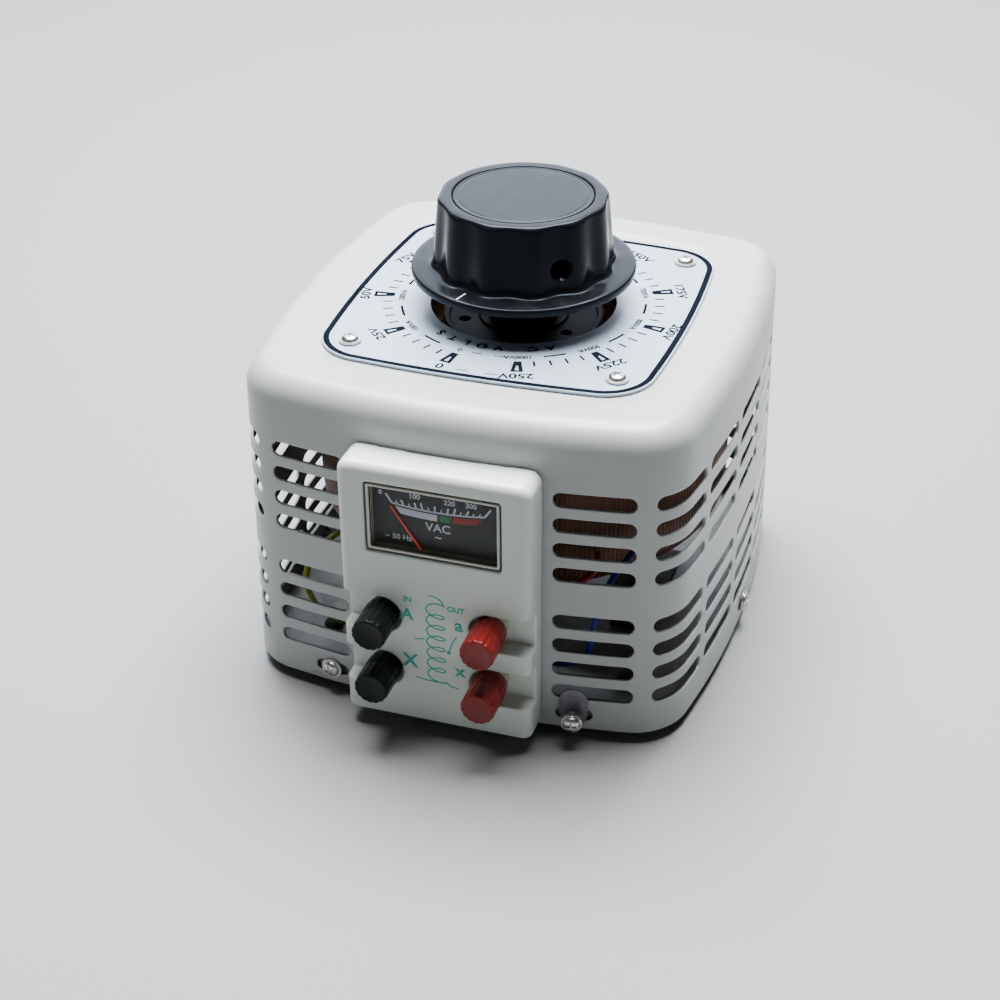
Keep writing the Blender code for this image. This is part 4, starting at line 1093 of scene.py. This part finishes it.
def cap_body():
    """Cap as loops round its axis: radius = wall - depth x (1 - |cos(9 angle)|) for rounded grips, with a
    groove near the middle and a dished front face."""
    a = np.linspace(0, 2 * np.pi, 216, endpoint=False)
    grip = 1 - np.abs(np.cos(a * CAP_FLUTES / 2)) ** 0.8
    rows = [(2.4, 20.3, 0), (2.4, 5.0, 0), (2.7, CAP_REAR, 0), (5.9, CAP_REAR, 0), (6.25, 4.9, 0),
            (6.3, 6.6, 0), (6.5, 7.0, 0.1), (CAP_SOLID, 7.6, 0.3), (CAP_SOLID, 13.4, 0.36),
            (6.62, 13.6, 0.36), (6.62, 13.9, 0.36), (CAP_SOLID, 14.1, 0.36), (CAP_SOLID, 21.5, 0.36),
            (6.6, 22.0, 0.34), (6.35, 22.35, 0.3), (6.0, CAP_FRONT, 0.2), (5.4, CAP_FRONT, 0), (5.1,
                                                                                                22.3, 0),
            (0, 22.1, 0)]
    loops = []
    for radius, z, depth in rows:
        r = radius - depth * grip
        loops.append(np.stack([r * np.cos(a), r * np.sin(a), np.full(len(a), z)], -1))
    base = np.zeros((1, len(a), 3)) + [0, 0, 20.3]
    loops = np.concatenate([base, np.array(loops)])
    return loops, quads(len(loops), len(a), close_cols=True)


nickel = finish("nickel_brass", (0.60, 0.56, 0.46), 0.25, 1.0, cloud=(0.5, 0.45, 0.36), cloud_scale=200.0,
                spread=0.15, grain=2500.0, height=0.05, dust=0.05)
black_cap = finish("black_cap", (0.005, 0.007, 0.007), 0.36, cloud=(0.009, 0.012, 0.012), cloud_scale=90.0,
                   spread=0.14, grain=1300.0, height=0.06, dust=0.03, Specular_IOR_Level=0.12)
red_cap = finish("red_plastic", (0.19, 0.007, 0.007), 0.32, cloud=(0.135, 0.005, 0.006), cloud_scale=70.0,
                 spread=0.14, grain=1300.0, height=0.06, dust=0.02, Specular_IOR_Level=0.3)
stud_rod = thread(1.95, -15.8, 18.9)
stud_seat = turned_ring([(1.8, 0.35), (5.3, 0.35), (5.5, 0.55), (5.5, 2.8), (5.3, 3.0), (1.8, 3.0)])
washer_ring = turned_ring([(2.4, 3.3), (5.65, 3.3), (5.8, 3.45), (5.8, 4.15), (5.65, 4.3), (2.4, 4.3)])
for name, x, z in POSTS:
    place, way = (x, SEAT_Y, z), (0, -1, 0)
    stud = joined([(stand(points, place, way), faces) for points, faces in (stud_rod, stud_seat)])
    fit(form("stud_" + name, *stud, sharp=30), nickel, "brass", "housing", "post_stud_" + name)
    fit(form("washer_" + name, stand(washer_ring[0], place, way), washer_ring[1]), nickel, "brass",
        "clamp_" + name, "post_washer_" + name)
    points, faces = cap_body()
    inlet = x < 0
    fit(form("cap_" + name, stand(points, place, way), faces, sharp=50), black_cap if inlet else red_cap,
        "black_bakelite" if inlet else "red_plastic", "cap_" + name, "post_cap_" + name)

# ---------------------------------------------------------------------------------------------------------
# Toroid: enamelled copper wire wound round a strip-wound core, bared along the top where the brush runs.
# It stands on a pressed bracket over the base pan.
# ---------------------------------------------------------------------------------------------------------
WIND_IN, WIND_OUT, WIND_LOW, WIND_HIGH = 35.0, 83.0, 46.0, 102.0
TURNS = 250
WIND_GAP = math.radians(25.0)
WIND_MID = math.radians(-90.0)


def winding():
    """Outside of the winding: a rounded rectangle carried round the ring, its size rippled once per turn of
    wire, closed by the sleeve's inside."""
    steps = TURNS * 4
    turn = WIND_MID + WIND_GAP / 2 + np.linspace(0, 2 * math.pi - WIND_GAP, steps + 1)
    ripple = 0.28 * (np.abs(np.cos(np.linspace(0, TURNS * math.pi, steps + 1))) - 1)
    half_r, half_z = (WIND_OUT - WIND_IN) / 2, (WIND_HIGH - WIND_LOW) / 2
    a = np.linspace(0, 2 * np.pi, 28, endpoint=False)
    power = 0.35
    cx = np.sign(np.cos(a)) * np.abs(np.cos(a)) ** power
    cz = np.sign(np.sin(a)) * np.abs(np.sin(a)) ** power
    outer_r = (WIND_IN + WIND_OUT) / 2 + cx[None] * (half_r + ripple[:, None])
    outer_z = (WIND_LOW + WIND_HIGH) / 2 + cz[None] * (half_z + ripple[:, None])
    inner_r = (WIND_IN + WIND_OUT) / 2 + cx[None] * np.full_like(ripple, half_r - 5.6)[:, None]
    inner_z = (WIND_LOW + WIND_HIGH) / 2 + cz[None] * np.full_like(ripple, half_z - 4.6)[:, None]
    def skin(r, z):
        return np.stack([r * np.cos(turn)[:, None], r * np.sin(turn)[:, None], z], -1)
    outside, inside = skin(outer_r, outer_z), skin(inner_r, inner_z)[::steps // 46]
    parts = [(outside, quads(steps + 1, 28, close_cols=True)),
             (inside, quads(len(inside), 28, close_cols=True))]
    for end in (0, -1):
        parts.append((np.stack([outside[end], inside[end]]), quads(2, 28, close_cols=True)))
    return joined(parts)


copper = finish("enamelled_copper", (0.11, 0.045, 0.025), 0.42, 0.6, cloud=(0.06, 0.025, 0.016),
                cloud_scale=60.0, spread=0.2, grain=700.0, height=0.1, dust=0.15)
bared = finish("bared_copper", (0.72, 0.36, 0.2), 0.3, 1.0, cloud=(0.45, 0.2, 0.1), cloud_scale=90.0,
               spread=0.2, grain=2000.0, dust=0.02)
fit(form("winding_turns", *winding()), copper, "copper", "housing", "winding")


def refine(node, finish_used, slot, body, soft=0.0003, segments=2):
    """A CAD node made finer: a welded copy with softened edges takes its place."""
    source = frame["nodes"][node].data.copy()
    shape = bmesh.new()
    shape.from_mesh(source)
    bmesh.ops.remove_doubles(shape, verts=shape.verts, dist=2e-6)
    bmesh.ops.dissolve_limit(shape, angle_limit=math.radians(1), verts=shape.verts, edges=shape.edges)
    shape.to_mesh(source)
    shape.free()
    obj = bpy.data.objects.new(node + "_fine", source)
    bpy.context.scene.collection.objects.link(obj)
    if soft:
        edge = obj.modifiers.new("soft_edge", "BEVEL")
        edge.width = soft
        edge.segments = segments
        edge.limit_method = "ANGLE"
        edge.angle_limit = math.radians(50)
        mesh = bpy.data.meshes.new_from_object(obj.evaluated_get(bpy.context.evaluated_depsgraph_get()))
        obj.modifiers.clear()
        obj.data = mesh
    obj.data.shade_smooth()
    obj.data.set_sharp_from_angle(angle=math.radians(35))
    return fit(obj, finish_used, slot, body, node)


steel_strip = finish("strip_steel", (0.24, 0.24, 0.26), 0.5, 0.85, cloud=(0.15, 0.15, 0.16),
                     cloud_scale=200.0,
                     spread=0.2, grain=1400.0, height=0.2)
pressboard = finish("pressboard", (0.27, 0.15, 0.07), 0.6, cloud=(0.18, 0.1, 0.05), cloud_scale=80.0,
                    grain=900.0, height=0.3)
brass = finish("turned_brass", (0.66, 0.46, 0.2), 0.3, 1.0, cloud=(0.5, 0.34, 0.15), cloud_scale=90.0,
               spread=0.2, grain=2000.0)
aluminium = finish("rolled_aluminium", (0.70, 0.71, 0.73), 0.34, 1.0, cloud=(0.58, 0.59, 0.61),
                   cloud_scale=70.0, spread=0.16, grain=1600.0)
graphite = finish("carbon_block", (0.03, 0.03, 0.032), 0.5, cloud=(0.05, 0.05, 0.05), cloud_scale=300.0,
                  grain=1500.0, height=0.3)
# Base pan: dull steel whose dark colour is partly painted shade of the case's inside.
pan_steel_and_shade = finish("pan_steel_and_shade", (0.20, 0.20, 0.19), 0.45, 0.3, cloud=(0.15, 0.15, 0.14), cloud_scale=30.0,
                   spread=0.15, grain=600.0, height=0.1, dust=0.4)
bracket_paint = finish("bracket_paint", (0.055, 0.05, 0.045), 0.65, cloud=(0.035, 0.03, 0.028),
                       cloud_scale=50.0, grain=700.0, height=0.15, dust=0.2, Specular_IOR_Level=0.15)
rubber = finish("foot_rubber", (0.02, 0.02, 0.02), 0.7, cloud=(0.035, 0.035, 0.035), grain=1400.0,
                height=0.3,
                dust=0.3)
INNER = (("commutator_track", bared, "copper", "housing"), ("toroid_core", steel_strip, "silicon_steel",
                                                            "housing"),
         ("support_bracket", bracket_paint, "zinc_steel", "housing"), ("lower_insulator", pressboard,
                                                                       "pressboard", "housing"),
         ("clamp_plate", dull_phenolic, "black_bakelite", "housing"), ("bearing_tube", dull_zinc,
                                                                       "zinc_steel", "housing"),
         ("tube_nut", dull_zinc, "zinc_steel", "housing"), ("lower_bush", brass, "brass", "housing"),
         ("upper_bush", brass, "brass", "housing"), ("slip_ring", brass, "brass", "housing"),
         ("stop_block", dull_zinc, "zinc_steel", "housing"), ("base_plate", pan_steel_and_shade, "zinc_steel",
                                                              "housing"),
         ("shaft", zinc, "zinc_steel", "rotor"), ("brush_arm", aluminium, "bare_aluminium", "rotor"),
         ("brush_holder", brass, "brass", "rotor"), ("carbon_brush", graphite, "carbon", "brush"))
for node, used, slot, body in INNER:
    refine(node, used, slot, body)
spring = refine("brush_spring", zinc, "zinc_steel", "rotor", soft=0)
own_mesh(spring)

# Feet: turned rubber buttons pushed through the pan
for corner in ("front_left", "front_right", "rear_right", "rear_left"):
    low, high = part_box("foot_" + corner)
    centre = ((low.x + high.x) * 500, ((low.y + high.y) / 2 - AXIS_Y) * 1000, -CASE_FOOT * 1000)
    foot = [(0, 0.6), (5.5, 0.6), (6.0, 0.0), (7.2, 0.0), (8.4, 0.4), (9.0, 1.6), (9.0, 5.2), (8.6, 5.7),
            (2.6, 5.7), (2.5, 8.3), (4.2, 8.5), (3.2, 10.2), (2.0, 11.0), (0, 11.0)]
    points, faces = turned(foot)
    fit(form("foot_fine_" + corner, stand(points, centre, (0, 0, 1)), faces), rubber, "rubber", "housing",
        "foot_" + corner)

# ---------------------------------------------------------------------------------------------------------
# Rotor hub: a black moulded disc clamped to the shaft under the knob, seen through the dial's hole, with
# a raised collar and rim and five drilled holes.
# ---------------------------------------------------------------------------------------------------------
hub = [(5.4, 115.4), (31.0, 115.4), (31.8, 116.0), (31.9, 124.3), (31.2, 125.1), (29.5, 125.2), (28.8,
                                                                                                 124.4),
       (18.0, 124.4), (17.4, 125.2), (5.4, 125.2)]
hub_piece = form("rotor_hub_fine", *turned_ring(hub, 120))
holes = []
for angle in (-62.0, -28.0, 62.0, 152.0, 208.0):
    x, y = 23.5 * math.cos(math.radians(angle)), 23.5 * math.sin(math.radians(angle))
    drill = turned([(0, 119), (2.4, 119), (2.4, 130), (0, 130)], 32)
    holes.append(form("drill", stand(drill[0], (x, y, 0), (0, 0, 1)), drill[1]))
fit(carve(hub_piece, *holes), dull_phenolic, "black_bakelite", "rotor", "rotor_hub")

# ---------------------------------------------------------------------------------------------------------
# Leads: sleeved wires from the posts' tails to the winding, and the earth lead to the bracket.
# ---------------------------------------------------------------------------------------------------------
def sleeve(name, colour, cloud):
    """Glossy wire sleeve."""
    return finish(name, colour, 0.35, cloud=cloud, cloud_scale=150.0, grain=1500.0, height=0.05, dust=0.1)


blue_sleeve = sleeve("blue_sleeve", (0.012, 0.018, 0.24), (0.02, 0.03, 0.34))
red_sleeve = sleeve("red_sleeve", (0.36, 0.015, 0.012), (0.46, 0.03, 0.02))
earth_sleeve = sleeve("earth_sleeve", (0.50, 0.50, 0.04), (0.05, 0.30, 0.05))
for node, used, slot in (("lead_blue", blue_sleeve, "blue_pvc"), ("lead_red", red_sleeve, "red_pvc"),
                         ("lead_earth", earth_sleeve, "green_yellow_pvc")):
    refine(node, used, slot, "housing", soft=0)
